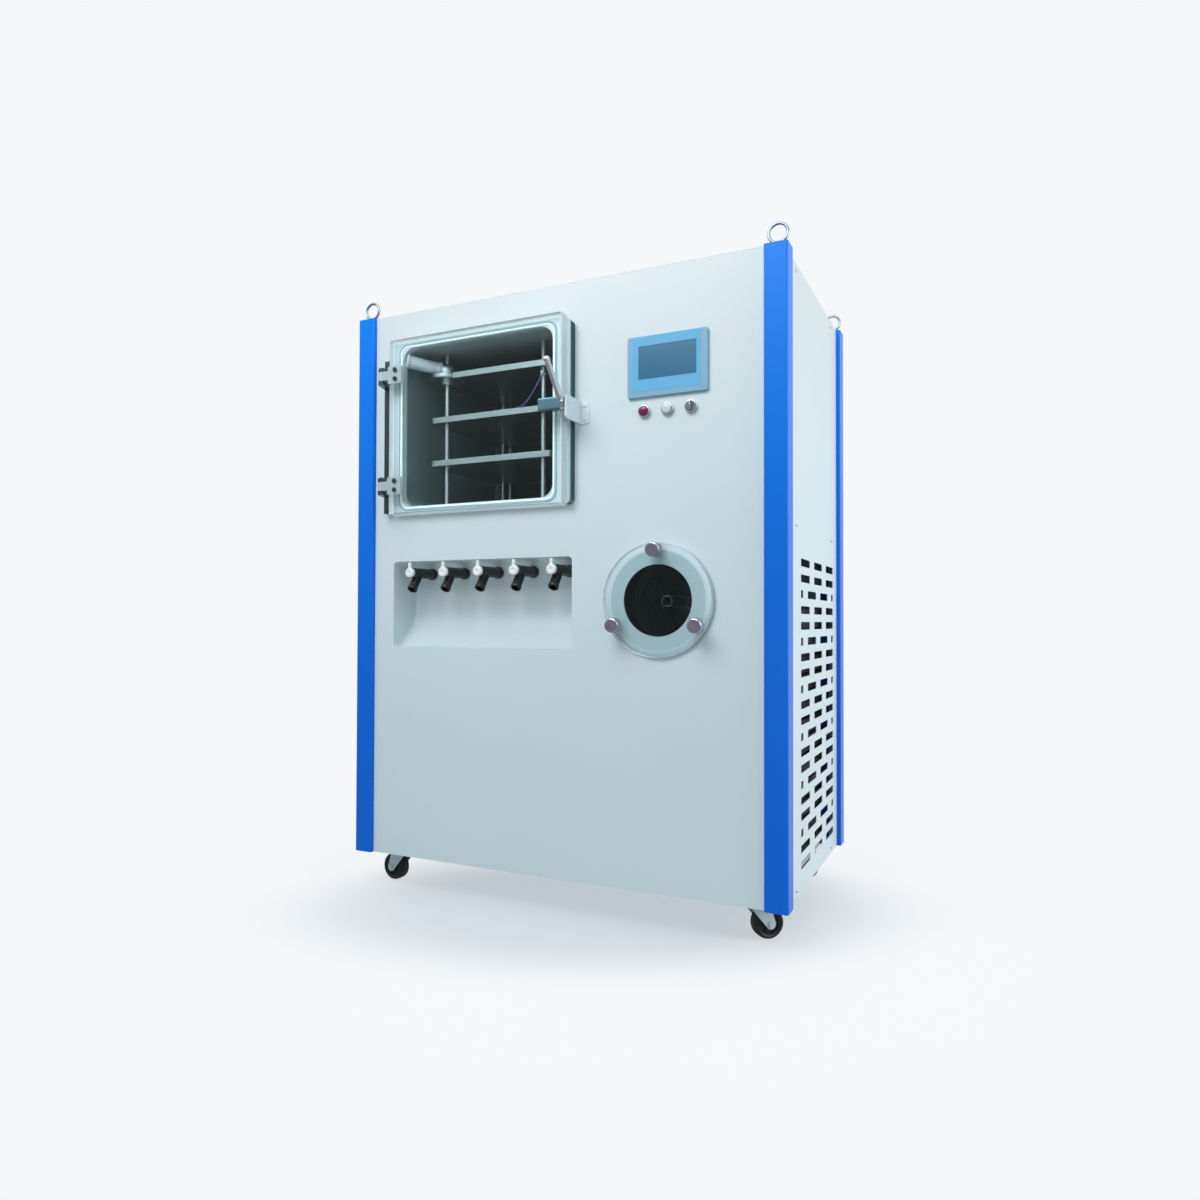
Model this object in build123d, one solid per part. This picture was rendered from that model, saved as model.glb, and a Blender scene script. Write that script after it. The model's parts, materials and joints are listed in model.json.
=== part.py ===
"""Pilot freeze dryer on casters: product chamber with a clear door, five-port manifold and cold trap.

Cabinet frame used while modelling, in millimetres: X to the right, Y into the depth from the front
faces of the corner posts, Z up from the floor, X = 0 in the middle of the width.  Each piece is moved
by -Y_MIDDLE when it is written, which puts the origin at the bottom centre of the overall box.
A cutter runs 1 mm or more past the faces it cuts, and pieces welded into one run 1 mm into each other.
"""
from build123d import *
import math
import os

# ---------------------------------------------------------------- overall sizes
WIDTH = 1215.0
DEPTH = 730.0
POST_HEIGHT = 1500.0
CASTER_HEIGHT = 95.0
SHEET = 1.5
FIT_GAP = 0.2
SEAL_GAP = 0.3
RUNNING = 0.08

HALF_WIDTH = WIDTH / 2
TOP_Z = CASTER_HEIGHT + POST_HEIGHT

# ---------------------------------------------------------------- cabinet
POST_SIDE = 55.0
POST_WALL = 3.0
POST_RADIUS = 5.0
POST_PROUD = 12.0
PANEL_LIP = 20.0
LID_RETURN = 18.0
PANEL_HALF_X = HALF_WIDTH - POST_SIDE - FIT_GAP
SIDE_FACE_X = HALF_WIDTH - POST_PROUD
REAR_FACE_Y = DEPTH - POST_PROUD
PANEL_TOP_Z = TOP_Z - SHEET - FIT_GAP

SLOT_LENGTH = 105.0
SLOT_HEIGHT = 19.0
SLOT_RADIUS = 3.0
SLOT_PITCH_Y = 160.0
SLOT_PITCH_Z = 38.5
SLOT_COLUMNS = 3
SLOT_ROWS = 20
SLOT_SHORT = 25.0
SLOT_CENTRE_Y = DEPTH / 2 + 40.0
SLOT_FIRST_Z = CASTER_HEIGHT + 60.0
REAR_SLOT_ROWS = 11
REAR_SLOT_COLUMNS = 5
REAR_SLOT_X = -60.0
REAR_SLOT_FIRST_Z = CASTER_HEIGHT + 120.0

SCREW_HEAD_R = 5.0
SCREW_HEAD_H = 2.8
SCREW_HEAD_ROUND = 0.8 * SCREW_HEAD_H
SCREW_SOCKET_R = 1.9
SCREW_SOCKET_DEPTH = 1.4
SCREW_R = 2.5
SCREW_LENGTH = 12.0
SCREW_MARGIN_Y = 85.0
SCREW_MARGIN_X = 50.0
SCREW_END_Z = 15.0
SCREW_MIDDLE_RISE = 127.0

EYE_CENTRE_RISE = 30.0
EYE_RING_R = 22.0
EYE_WIRE_R = 3.5
EYE_COLLAR_R = 9.0
EYE_COLLAR_CHAMFER = 2.0
EYE_SHANK_R = 5.0
EYE_SHANK_DEPTH = 28.0

PAN_HEIGHT = 40.0
PAN_SHEET = 3.0
PAN_LIP = 30.0
PAN_FRONT_Y = 36.0
GUSSET_SIDE = 110.0
GUSSET_THICK = 6.0
PAN_TOP_Z = CASTER_HEIGHT + PAN_HEIGHT

# ---------------------------------------------------------------- casters
CASTER_INSET = 95.0
WHEEL_R = 37.5
WHEEL_WIDTH = 34.0
WHEEL_SHOULDER = 9.0
WHEEL_SIDE_GAP = 2.0
WHEEL_DISH = 5.0
WHEEL_RIM_R = 0.62 * WHEEL_R
WHEEL_HUB_R = 0.26 * WHEEL_R
AXLE_R = 4.0
AXLE_HEAD_R = 7.0
AXLE_HEAD = 4.0
FORK_SHEET = 3.0
FORK_LEG_END_R = 12.0
FORK_LEG_TOP_H = 8.0
CROWN_R = 27.0
SWIVEL_TRAIL = 26.0
CASTER_PLATE_X = 70.0
CASTER_PLATE_Y = 92.0
CASTER_PLATE_T = 4.0
CASTER_PLATE_RADIUS = 6.0
RACE_R = 22.0
RACE_H = 6.0
RACE_ROUND = 2.0
KINGPIN_R = 5.0
KINGPIN_HEAD_R = 9.0
KINGPIN_HEAD = 2.0
SWIVEL_GAP = 0.3
CASTERS = {
    "front_left": (-1, 0, 172.0),
    "front_right": (1, 0, 42.0),
    "rear_left": (-1, 1, 120.0),
    "rear_right": (1, 1, 75.0),
}

# ---------------------------------------------------------------- product chamber
CHAMBER_LEFT = 178.0
CHAMBER_BELOW_TOP = 114.0
CHAMBER_W = 460.0
CHAMBER_H = 430.0
CHAMBER_DEPTH = 482.0
CHAMBER_WALL = 3.0
CHAMBER_RADIUS = 35.0
FLANGE_SIDE = 43.0
FLANGE_TOP = 16.0
FLANGE_PROUD = 24.0
FLANGE_RADIUS = 14.0
FLANGE_ROUND = 2.0
GASKET_BAND = 10.0
GASKET_T = 2.5
GASKET_INSET = 2.0
CHAMBER_X = -HALF_WIDTH + CHAMBER_LEFT + CHAMBER_W / 2
CHAMBER_Z = TOP_Z - CHAMBER_BELOW_TOP - CHAMBER_H / 2
FLANGE_Y = POST_PROUD - FLANGE_PROUD
FLANGE_W = CHAMBER_W + 2 * FLANGE_SIDE
FLANGE_H = CHAMBER_H + 2 * FLANGE_TOP
CHAMBER_FLOOR_Z = CHAMBER_Z - CHAMBER_H / 2
CHAMBER_BACK_Y = POST_PROUD + CHAMBER_DEPTH - FLANGE_PROUD

SHELF_SIDE_GAP = 40.0
SHELF_D = 360.0
SHELF_T = 16.0
SHELF_RADIUS = 12.0
SHELF_ROUND = 1.5
SHELF_FRONT_Y = 55.0
SHELF_COUNT = 3
SHELF_W = CHAMBER_W - 2 * SHELF_SIDE_GAP
SHELF_PITCH = 119.0
SHELF_FIRST_RISE = 125.0
ROD_R = 7.0
ROD_INSET_X = 38.0
ROD_INSET_Y = 30.0
BUSH_FLANGE_R = 48.0
BUSH_FLANGE_T = 12.0
BUSH_FLANGE_ROUND = 3.0
BUSH_DOME_R = 26.0
BUSH_DOME_H = 34.0
BUSH_DOME_ROUND = 18.0
BUSH_COLLAR_R = 0.7 * BUSH_DOME_R
BUSH_COLLAR_L = 12.0
RISER_R = 9.0
RISER_BRANCH_R = 6.0
RISER_INSET = 30.0
RISER_BEHIND = 28.0
RISER_Y = SHELF_FRONT_Y + SHELF_D + RISER_BEHIND
PROBE_R = 1.6
PROBE_TIP_R = 3.0
PROBE_TIP_L = 26.0
PROBE_SLEEVE = 14.0
PROBE_BEND_SHARE = 0.45
PROBE_STANDOFF = 4.0
PROBE_STEPS = (
    (0.0, 0.0, 82.0),
    (-10.0, -1.0, 63.0),
    (-22.0, -1.5, 45.0),
    (-36.0, -1.0, 25.0),
    (-53.0, 0.0, 10.0),
    (-76.0, 2.0, 4.0),
    (-100.0, 5.0, 3.6),
)
CLIP_WALL = 3.0
CLIP_H = 12.0

# ---------------------------------------------------------------- door, hinge and latch
DOOR_OVERLAP_X = 33.0
DOOR_OVERLAP_Z = 23.0
DOOR_W = CHAMBER_W + 2 * DOOR_OVERLAP_X
DOOR_H = CHAMBER_H + 2 * DOOR_OVERLAP_Z
DOOR_T = 36.0
DOOR_RADIUS = 6.0
DOOR_SHIFT_X = 3.5
DOOR_EDGE = 2.5
DOOR_BACK_Y = FLANGE_Y - GASKET_T - SEAL_GAP
DOOR_FRONT_Y = DOOR_BACK_Y - DOOR_T
DOOR_X = CHAMBER_X + DOOR_SHIFT_X
DOOR_LEFT_X = DOOR_X - DOOR_W / 2
DOOR_RIGHT_X = DOOR_X + DOOR_W / 2

HINGE_SPREAD = 300.0
HINGE_DROP = 10.0
HINGE_PIN_R = 4.0
HINGE_KNUCKLE_R = 10.0
HINGE_KNUCKLE_H = 24.0
HINGE_LUG_T = 10.0
HINGE_LEAF_T = 6.0
HINGE_LEAF_END = 45.0
HINGE_LEAF_H = 48.0
HINGE_PIN_OUT = 26.0
HINGE_BAR_W = 16.0
HINGE_BAR_LENGTH = 424.0
HINGE_BAR_PROUD = 22.0
HINGE_BAR_OUT = 14.0
HINGE_BAR_BELOW = 218.0
HINGE_BAR_ROUND = 2.0
HINGE_X = DOOR_LEFT_X - HINGE_PIN_OUT
HINGE_Y = DOOR_FRONT_Y + HINGE_LEAF_T / 2
HINGE_CENTRE_Z = CHAMBER_Z - HINGE_DROP
HINGE_ZS = (HINGE_CENTRE_Z - HINGE_SPREAD / 2, HINGE_CENTRE_Z + HINGE_SPREAD / 2)
LEAF_BOLT_R = 4.0
LEAF_BOLT_HEAD_R = 6.5
LEAF_BOLT_HEAD = 5.0
LEAF_BOLT_DEPTH = 20.0
LEAF_SOCKET_R = 0.85 * LEAF_BOLT_R
LEAF_BOLT_SPREAD = 24.0
LEAF_BOLT_FROM_EDGE = 26.0
HINGE_LEAF_RADIUS = 5.0
HINGE_CAP_R = 6.5
HINGE_CAP_T = 3.0

LATCH_BLOCK_W = 58.0
LATCH_BLOCK_H = 32.0
LATCH_BLOCK_D = 22.0
LATCH_BLOCK_ROUND = 4.0
LATCH_OVERHANG = 4.0
LATCH_SHAFT_R = 6.0
LATCH_SHAFT_IN = 44.0
LATCH_RISE = 6.0
HUB_R = 16.0
HUB_T = 14.0
HUB_SLOT_T = 8.0
STRIKE_PIN_R = 4.0
STRIKE_PIN_GAP = 0.6
STRIKE_SIDE_GAP = 2.5
STRIKE_BEYOND = 11.0
STRIKE_BELOW = 39.0
STRIKE_ROUND = 6.0
STRIKE_SCREW_END = 11.0
STRIKE_SCREW_ROUND = 0.6 * SCREW_HEAD_H
STRIKE_PIN_IN = 0.5
STRIKE_T = 5.0
STRIKE_H = 57.0
STRIKE_FOOT = 26.0
STRIKE_FOOT_T = 3.0
LEVER_LENGTH = 118.0
LEVER_LEAN_DEG = 44.0
LEVER_ROOT_W = 22.0
LEVER_TIP_R = 8.0
LEVER_TIP_ROUND = 0.45 * LEVER_TIP_R
LEVER_T = 9.0
LEVER_ROUND = 2.0
LATCH_RIGHT_X = DOOR_RIGHT_X + LATCH_OVERHANG
LATCH_Y = DOOR_FRONT_Y - LATCH_BLOCK_D / 2
LATCH_Z = CHAMBER_Z + LATCH_RISE
HUB_X = LATCH_RIGHT_X + SEAL_GAP
STRIKE_X = HUB_X + HUB_T + STRIKE_SIDE_GAP
STRIKE_PIN_TIP_X = HUB_X + HUB_T - HUB_SLOT_T + STRIKE_PIN_IN

# ---------------------------------------------------------------- manifold
RECESS_LEFT = 120.0
RECESS_END = 57.0
RECESS_H = 236.0
RECESS_DEPTH = 106.0
RECESS_CENTRE_RISE = 692.0
RECESS_CORNER = 12.0
RECESS_INNER_R = 11.0
RECESS_SCOOP_R = 110.0
RECESS_SCOOP_DROP = 50.0
RECESS_SHELF = 30.0
RECESS_TOP_R = 18.0
RECESS_LIP_R = 20.0
RECESS_RIM = 12.0
VALVE_COUNT = 5
VALVE_PITCH = 110.0
RECESS_W = (VALVE_COUNT - 1) * VALVE_PITCH + 2 * RECESS_END
RECESS_X = -HALF_WIDTH + RECESS_LEFT + RECESS_W / 2
RECESS_Z = CASTER_HEIGHT + RECESS_CENTRE_RISE
RECESS_BACK_Y = POST_PROUD + SHEET + RECESS_DEPTH
VALVE_BELOW_TOP = 31.0
VALVE_Z = RECESS_Z + RECESS_H / 2 - VALVE_BELOW_TOP
VALVE_XS = [RECESS_X + (i - (VALVE_COUNT - 1) / 2) * VALVE_PITCH for i in range(VALVE_COUNT)]
VALVE_BODY_R = 14.5
VALVE_COLLAR_R = 16.5
VALVE_COLLAR_L = 14.0
VALVE_COLLAR_ROUND = 3.0
VALVE_ROUND = 2.0
VALVE_FRONT_Y = 16.0
BRANCH_R = 13.0
BRANCH_DEG = 35.0
BRANCH_LENGTH = 58.0
BRANCH_ROOT_Y = 52.0
BEAD_L = 8.0
BEAD_PROUD = 1.5
PORT_R = 9.5
PORT_DEPTH = 26.0
STUB_R = 11.0
STUB_WALL = 1.5
STUB_GRIP = 44.0
HEADER_R = 19.0
HEADER_WALL = 2.0
HEADER_BEHIND = 46.0
HEADER_END_INSET = 20.0
HEADER_Y = RECESS_BACK_Y + HEADER_BEHIND
KNOB_DISC_R = 15.0
KNOB_TAB = 28.0
KNOB_TAB_W = 9.0
KNOB_T = 12.0
KNOB_ROUND = 3.0
KNOB_TAB_SUNK = 3.0
KNOB_STEM_R = 6.0
KNOB_STEM_L = 22.0

# ---------------------------------------------------------------- cold trap
TRAP_FROM_RIGHT = 307.5
TRAP_RISE = 697.0
TRAP_R = 125.0
TRAP_WALL = 6.0
TRAP_LENGTH = 388.0
TRAP_MOUTH_R = 86.0
TRAP_FLANGE_OUT = 12.0
TRAP_FLANGE_R = TRAP_R + TRAP_FLANGE_OUT
TRAP_FLANGE_T = 8.0
TRAP_LIP_T = 16.0
TRAP_X = HALF_WIDTH - TRAP_FROM_RIGHT
TRAP_Z = CASTER_HEIGHT + TRAP_RISE
TRAP_CUT_R = 0.6 * TRAP_R
TRAP_FACE_Y = POST_PROUD - TRAP_FLANGE_T
TRAP_BACK_Y = POST_PROUD + TRAP_LENGTH
WINDOW_T = 20.0
WINDOW_CHAMFER = 2.0
WINDOW_HOLE_GAP = 0.5
WINDOW_BACK_Y = TRAP_FACE_Y - SEAL_GAP
WINDOW_FRONT_Y = WINDOW_BACK_Y - WINDOW_T
STUD_INSET = 18.0
STUD_CIRCLE_R = TRAP_FLANGE_R - STUD_INSET
STUD_R = 5.0
STUD_SHORT = 5.0
STUD_DEGS = (90.0, 210.0, 330.0)
HAND_NUT_R = 18.0
HAND_NUT_L = 27.0
HAND_NUT_FLUTES = 10
HAND_NUT_FLUTE_R = 3.0
HAND_NUT_FLUTE_OUT = 0.55 * HAND_NUT_FLUTE_R
HAND_NUT_ROUND = 5.0
HAND_NUT_CHAMFER = 1.5
COIL_WALL_GAP = 19.0
COIL_RING_R = TRAP_R - TRAP_WALL - COIL_WALL_GAP
COIL_TUBE_R = 6.0
COIL_TAIL_R = 4.0
COIL_HEADER_R = 8.0
COIL_TURNS = 11
COIL_PITCH = 24.0
COIL_FIRST_Y = 110.0
VACUUM_PIPE_R = 14.0
VACUUM_BORE_R = 12.0
VACUUM_FIRST_Y = 70.0
KF_FLANGE_R = 20.0
KF_FLANGE_T = 4.0
KF_CONE = 5.0
KF_OUT = 45.0
KF_END_Y = REAR_FACE_Y + KF_OUT
DUCT_R = 38.0
DUCT_WALL = 2.0
DUCT_END_RISE = 0.8 * TRAP_R
DUCT_BEND = 110.0
DUCT_Y = 330.0
DUCT_ABOVE_FLOOR = 82.0
DUCT_Z = CHAMBER_FLOOR_Z + DUCT_ABOVE_FLOOR
DUCT_VALVE_R = 62.0
DUCT_VALVE_T = 36.0
DUCT_VALVE_RISE = 38.0
DUCT_ACTUATOR_R = 14.0
DUCT_ACTUATOR_L = 60.0

# ---------------------------------------------------------------- controls
PANEL_FROM_RIGHT = 287.0
SCREEN_BELOW_TOP = 240.5
HMI_W = 203.0
HMI_H = 149.0
HMI_PROUD = 8.0
HMI_RADIUS = 6.0
HMI_BODY_W = 190.0
HMI_BODY_H = 136.0
HMI_BODY_D = 35.0
SCREEN_W = 132.0
SCREEN_H = 78.0
SCREEN_SHIFT_X = 4.0
SCREEN_SHIFT_Z = 7.0
SCREEN_T = 1.2
SCREEN_SUNK = 0.5
HMI_ROUND = 2.5
HMI_X = HALF_WIDTH - PANEL_FROM_RIGHT
HMI_Z = TOP_Z - SCREEN_BELOW_TOP
SWITCH_PITCH = 59.0
SWITCH_BELOW_SCREEN = 107.0
SWITCH_Z = HMI_Z - SWITCH_BELOW_SCREEN
SWITCH_XS = [HMI_X + (i - 1) * SWITCH_PITCH for i in range(3)]
BEZEL_R = 15.0
BEZEL_T = 9.0
BEZEL_ROUND = 2.0
CAP_R = 11.7
CAP_T = 7.0
CAP_STEM_R = 4.0
CAP_STEM_L = 14.0
CAP_STEM_SHORT = 2.0
CAP_ROUND = 1.8
SELECTOR_ROUND = 1.0
SELECTOR_BAR_W = 6.0
SELECTOR_BAR_H = 2 * CAP_R - 3.0
SELECTOR_BAR_OUT = 7.0
SELECTOR_BAR_RADIUS = 2.5
BARREL_R = 11.0
BARREL_L = 38.0
PRESS_TRAVEL = 3.0

# ---------------------------------------------------------------- machinery
RAIL_W = 25.0
RAIL_H = 40.0
RAIL_WALL = 2.0
RAIL_FRONT_Y = 110.0
RAIL_MIDDLE_Y = 400.0
RAIL_REAR = 125.0
RAIL_YS = (RAIL_FRONT_Y, RAIL_MIDDLE_Y, DEPTH - RAIL_REAR - RAIL_W)
FRAME_TOP_Z = CHAMBER_FLOOR_Z - CHAMBER_WALL
COMPRESSOR_R = 105.0
COMPRESSOR_H = 300.0
COMPRESSOR_Y = 400.0
COMPRESSOR_LEFT = 70.0
COMPRESSOR_DOME_R = 45.0
COMPRESSOR_FOOT_W = 230.0
COMPRESSOR_FOOT_R = 20.0
COMPRESSOR_FOOT_T = 4.0
COMPRESSOR_FOOT_H = 14.0
COMPRESSOR_BUSH_R = 14.0
TERMINAL_BOX_W = 80.0
TERMINAL_BOX_H = 100.0
TERMINAL_BOX_OUT = 40.0
STUB_SPREAD = 45.0
STUB_RISE = 40.0
SUCTION_STUB_R = 9.0
LIQUID_STUB_R = 7.0
RADIATOR_W = 420.0
RADIATOR_H = 640.0
RADIATOR_T = 44.0
RADIATOR_FINS = 26
RADIATOR_GROOVE = 6.0
RADIATOR_END = 16.0
RADIATOR_FIN_DEPTH = 14.0
RADIATOR_AIR_GAP = 30.0
RADIATOR_OUT_X = SIDE_FACE_X - SHEET - RADIATOR_AIR_GAP
RADIATOR_Y = SLOT_CENTRE_Y
SHROUD_T = 46.0
SHROUD_SHEET = 2.0
FAN_R = 180.0
FAN_TIP_GAP = 8.0
FAN_HUB_R = 46.0
FAN_HUB_T = 30.0
FAN_BLADES = 5
FAN_BLADE_T = 2.5
FAN_PITCH_DEG = 28.0
MOTOR_R = 45.0
MOTOR_L = 60.0
MOTOR_GAP = 20.0
FAN_BLADE_CHORD = 56.0
FAN_RING = 12.0
MOTOR_BAR = 16.0
MOTOR_BAR_T = 6.0
MOTOR_BAR_RISE = 0.6 * MOTOR_R
FAN_SHAFT_R = 6.0
FAN_Z = PAN_TOP_Z + RADIATOR_H / 2
BATH_D = 250.0
BATH_H = 240.0
BATH_END = 40.0
BATH_WALL = 3.0
BATH_RADIUS = 12.0
BATH_LIP = 5.0
BATH_LID_T = 5.0
PUMP_R = 50.0
PUMP_L = 150.0
PUMP_ROUND = 8.0
BOX_W = 340.0
BOX_D = 120.0
BOX_H = 380.0
BOX_WALL = 2.0
GLAND_FROM_RIGHT = 120.0
GLAND_RISE = 150.0
GLAND_X = HALF_WIDTH - GLAND_FROM_RIGHT
GLAND_Z = CASTER_HEIGHT + GLAND_RISE
GLAND_THREAD_R = 12.5
GLAND_HEX = 15.0
GLAND_BORE_R = 8.0
GLAND_HEX_T = 6.0
GLAND_TAIL = 14.0
GLAND_NOSE = 26.0
GLAND_LIP = 0.5

# ---------------------------------------------------------------- overall reach, for the origin
LEVER_REACH = LEVER_LENGTH * math.sin(math.radians(LEVER_LEAN_DEG)) + LEVER_TIP_R
FRONT_REACH_Y = LATCH_Y - LEVER_REACH
Y_MIDDLE = (FRONT_REACH_Y + KF_END_Y) / 2


# ================================================================ helpers
def block(x0, x1, y0, y1, z0, z1):
    """A box given by its limits."""
    centre = Pos((x0 + x1) / 2, (y0 + y1) / 2, (z0 + z1) / 2)
    return centre * Box(x1 - x0, y1 - y0, z1 - z0)


def rod(start, end, radius):
    """A round bar between two points."""
    run = Vector(*end) - Vector(*start)
    plane = Plane(origin=start, z_dir=run)
    return plane * Cylinder(radius, run.length, align=(Align.CENTER, Align.CENTER, Align.MIN))


def rod_y(x, z, radius, y0, y1):
    return rod((x, y0, z), (x, y1, z), radius)


def rod_x(y, z, radius, x0, x1):
    return rod((x0, y, z), (x1, y, z), radius)


def rod_z(x, y, radius, z0, z1):
    return rod((x, y, z0), (x, y, z1), radius)


def slab_y(sketch, x, z, y0, y1):
    """A sketch, drawn as seen from the front, as a slab from y0 to y1."""
    plane = Plane(origin=(x, y1, z), x_dir=(1, 0, 0), z_dir=(0, -1, 0))
    return extrude(plane * sketch, amount=y1 - y0)


def slab_x(sketch, y, z, x0, x1):
    """A sketch in Y and Z as a slab from x0 to x1."""
    plane = Plane(origin=(x0, y, z), x_dir=(0, 1, 0), z_dir=(1, 0, 0))
    return extrude(plane * sketch, amount=x1 - x0)


def slab_z(sketch, x, y, z0, z1):
    return extrude(Plane(origin=(x, y, z0)) * sketch, amount=z1 - z0)


def edges_along(shape, axis):
    return shape.edges().filter_by(axis)


def group(shapes):
    """Several separate solids as one node."""
    solids = []
    for shape in shapes:
        solids.extend(shape.solids())
    return Compound(children=solids)


# ================================================================ cabinet shell
def corner_post(side, rear):
    """Square tube post with welded end plates; the top plate is tapped for a lifting eye."""
    x = side * (HALF_WIDTH - POST_SIDE / 2)
    y = DEPTH - POST_SIDE / 2 if rear else POST_SIDE / 2
    inner = POST_SIDE - 2 * POST_WALL
    outer_form = slab_z(RectangleRounded(POST_SIDE, POST_SIDE, POST_RADIUS), x, y, CASTER_HEIGHT, TOP_Z)
    cavity = slab_z(
        RectangleRounded(inner, inner, POST_RADIUS - POST_WALL),
        x,
        y,
        CASTER_HEIGHT + POST_WALL,
        TOP_Z - POST_WALL,
    )
    eye_hole = rod_z(x, y, EYE_SHANK_R + FIT_GAP / 2, TOP_Z - POST_WALL - 1, TOP_Z + 1)
    return outer_form - cavity - eye_hole


def lifting_eye(side, rear):
    """Thin-wire eye bolt: ring, collar and threaded shank."""
    x = side * (HALF_WIDTH - POST_SIDE / 2)
    y = DEPTH - POST_SIDE / 2 if rear else POST_SIDE / 2
    ring_z = TOP_Z + EYE_CENTRE_RISE
    ring = Pos(x, y, ring_z) * Rot(90, 0, 0) * Torus(EYE_RING_R, EYE_WIRE_R)
    collar_top = ring_z - EYE_RING_R - EYE_WIRE_R / 2
    collar = rod_z(x, y, EYE_COLLAR_R, TOP_Z, collar_top)
    collar = chamfer(collar.edges().group_by(Axis.Z)[-1], EYE_COLLAR_CHAMFER)
    shank = rod_z(x, y, EYE_SHANK_R, TOP_Z - EYE_SHANK_DEPTH, TOP_Z + 1)
    return ring + collar + shank


def vent_slots(rows, columns):
    """Two full rows, then one row moved by half a pitch with a short slot at each end; row 0 is lowest."""
    half_span = (columns - 1) / 2 * SLOT_PITCH_Y + SLOT_LENGTH / 2
    shapes = []
    for row in range(rows):
        up = row * SLOT_PITCH_Z
        moved_row = (rows - 1 - row) % 3 == 2
        count = columns - 1 if moved_row else columns
        for column in range(count):
            along = (column - (count - 1) / 2) * SLOT_PITCH_Y
            shapes.append(Pos(along, up) * RectangleRounded(SLOT_LENGTH, SLOT_HEIGHT, SLOT_RADIUS))
        if moved_row:
            for sign in (-1, 1):
                along = sign * (half_span - SLOT_SHORT / 2)
                shapes.append(Pos(along, up) * RectangleRounded(SLOT_SHORT, SLOT_HEIGHT, SLOT_RADIUS))
    return Sketch(children=shapes)


def side_screw_places():
    middle = (CASTER_HEIGHT + TOP_Z) / 2 + SCREW_MIDDLE_RISE
    zs = (CASTER_HEIGHT + SCREW_END_Z, middle, TOP_Z - SCREW_END_Z - SHEET)
    ys = (POST_SIDE + SCREW_MARGIN_Y, DEPTH - POST_SIDE - SCREW_MARGIN_Y)
    return [(y, z) for y in ys for z in zs]


def rear_screw_places():
    middle = (CASTER_HEIGHT + TOP_Z) / 2
    zs = (CASTER_HEIGHT + SCREW_END_Z + PANEL_LIP, middle, TOP_Z - SCREW_END_Z - PANEL_LIP)
    xs = (-PANEL_HALF_X + SCREW_MARGIN_X, PANEL_HALF_X - SCREW_MARGIN_X)
    return [(x, z) for x in xs for z in zs]


def side_panel(side):
    """Folded side sheet with its vent slots, screw holes and returns."""
    outer = side * SIDE_FACE_X
    inner = side * (SIDE_FACE_X - SHEET)
    lip_x = side * (SIDE_FACE_X - SHEET - PANEL_LIP)
    y0 = POST_SIDE + FIT_GAP
    y1 = DEPTH - POST_SIDE - FIT_GAP
    z0 = CASTER_HEIGHT
    x_low, x_high = sorted((outer, inner))
    face = block(x_low, x_high, y0, y1, z0, PANEL_TOP_Z)
    face -= slab_x(vent_slots(SLOT_ROWS, SLOT_COLUMNS), SLOT_CENTRE_Y, SLOT_FIRST_Z, x_low - 1, x_high + 1)
    for y, z in side_screw_places():
        face -= rod_x(y, z, SCREW_R + FIT_GAP, x_low - 1, x_high + 1)
    lip_low, lip_high = sorted((inner, lip_x))
    front_lip = block(lip_low, lip_high, y0, y0 + SHEET, z0, PANEL_TOP_Z - PANEL_LIP)
    rear_lip = block(lip_low, lip_high, y1 - SHEET, y1, z0, PANEL_TOP_Z - PANEL_LIP)
    bottom_lip = block(lip_low, lip_high, y0, y1, z0, z0 + SHEET)
    return face + front_lip + rear_lip + bottom_lip


def front_panel():
    """Folded front sheet, cut out for the chamber, manifold recess, cold trap and controls."""
    y0 = POST_PROUD
    y1 = POST_PROUD + SHEET
    z0 = CASTER_HEIGHT
    face = block(-PANEL_HALF_X, PANEL_HALF_X, y0, y1, z0, PANEL_TOP_Z)
    cut0, cut1 = y0 - 1, y1 + 1
    shell_w = CHAMBER_W + 2 * (CHAMBER_WALL + FIT_GAP)
    shell_h = CHAMBER_H + 2 * (CHAMBER_WALL + FIT_GAP)
    shell_r = CHAMBER_RADIUS + CHAMBER_WALL + FIT_GAP
    face -= slab_y(RectangleRounded(shell_w, shell_h, shell_r), CHAMBER_X, CHAMBER_Z, cut0, cut1)
    recess_mouth = RectangleRounded(RECESS_W, RECESS_H, RECESS_CORNER)
    face -= slab_y(recess_mouth, RECESS_X, RECESS_Z, cut0, cut1)
    face -= rod_y(TRAP_X, TRAP_Z, TRAP_R + FIT_GAP, cut0, cut1)
    hmi_hole = RectangleRounded(HMI_BODY_W + 2 * FIT_GAP, HMI_BODY_H + 2 * FIT_GAP, HMI_RADIUS)
    face -= slab_y(hmi_hole, HMI_X, HMI_Z, cut0, cut1)
    for x in SWITCH_XS:
        face -= rod_y(x, SWITCH_Z, BARREL_R + FIT_GAP, cut0, cut1)
    side_lips = [
        block(-PANEL_HALF_X, -PANEL_HALF_X + SHEET, y0, y1 + PANEL_LIP, z0, PANEL_TOP_Z - PANEL_LIP),
        block(PANEL_HALF_X - SHEET, PANEL_HALF_X, y0, y1 + PANEL_LIP, z0, PANEL_TOP_Z - PANEL_LIP),
    ]
    bottom_lip = block(-PANEL_HALF_X, PANEL_HALF_X, y0, y1 + PANEL_LIP, z0, z0 + SHEET)
    return face + side_lips[0] + side_lips[1] + bottom_lip


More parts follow.
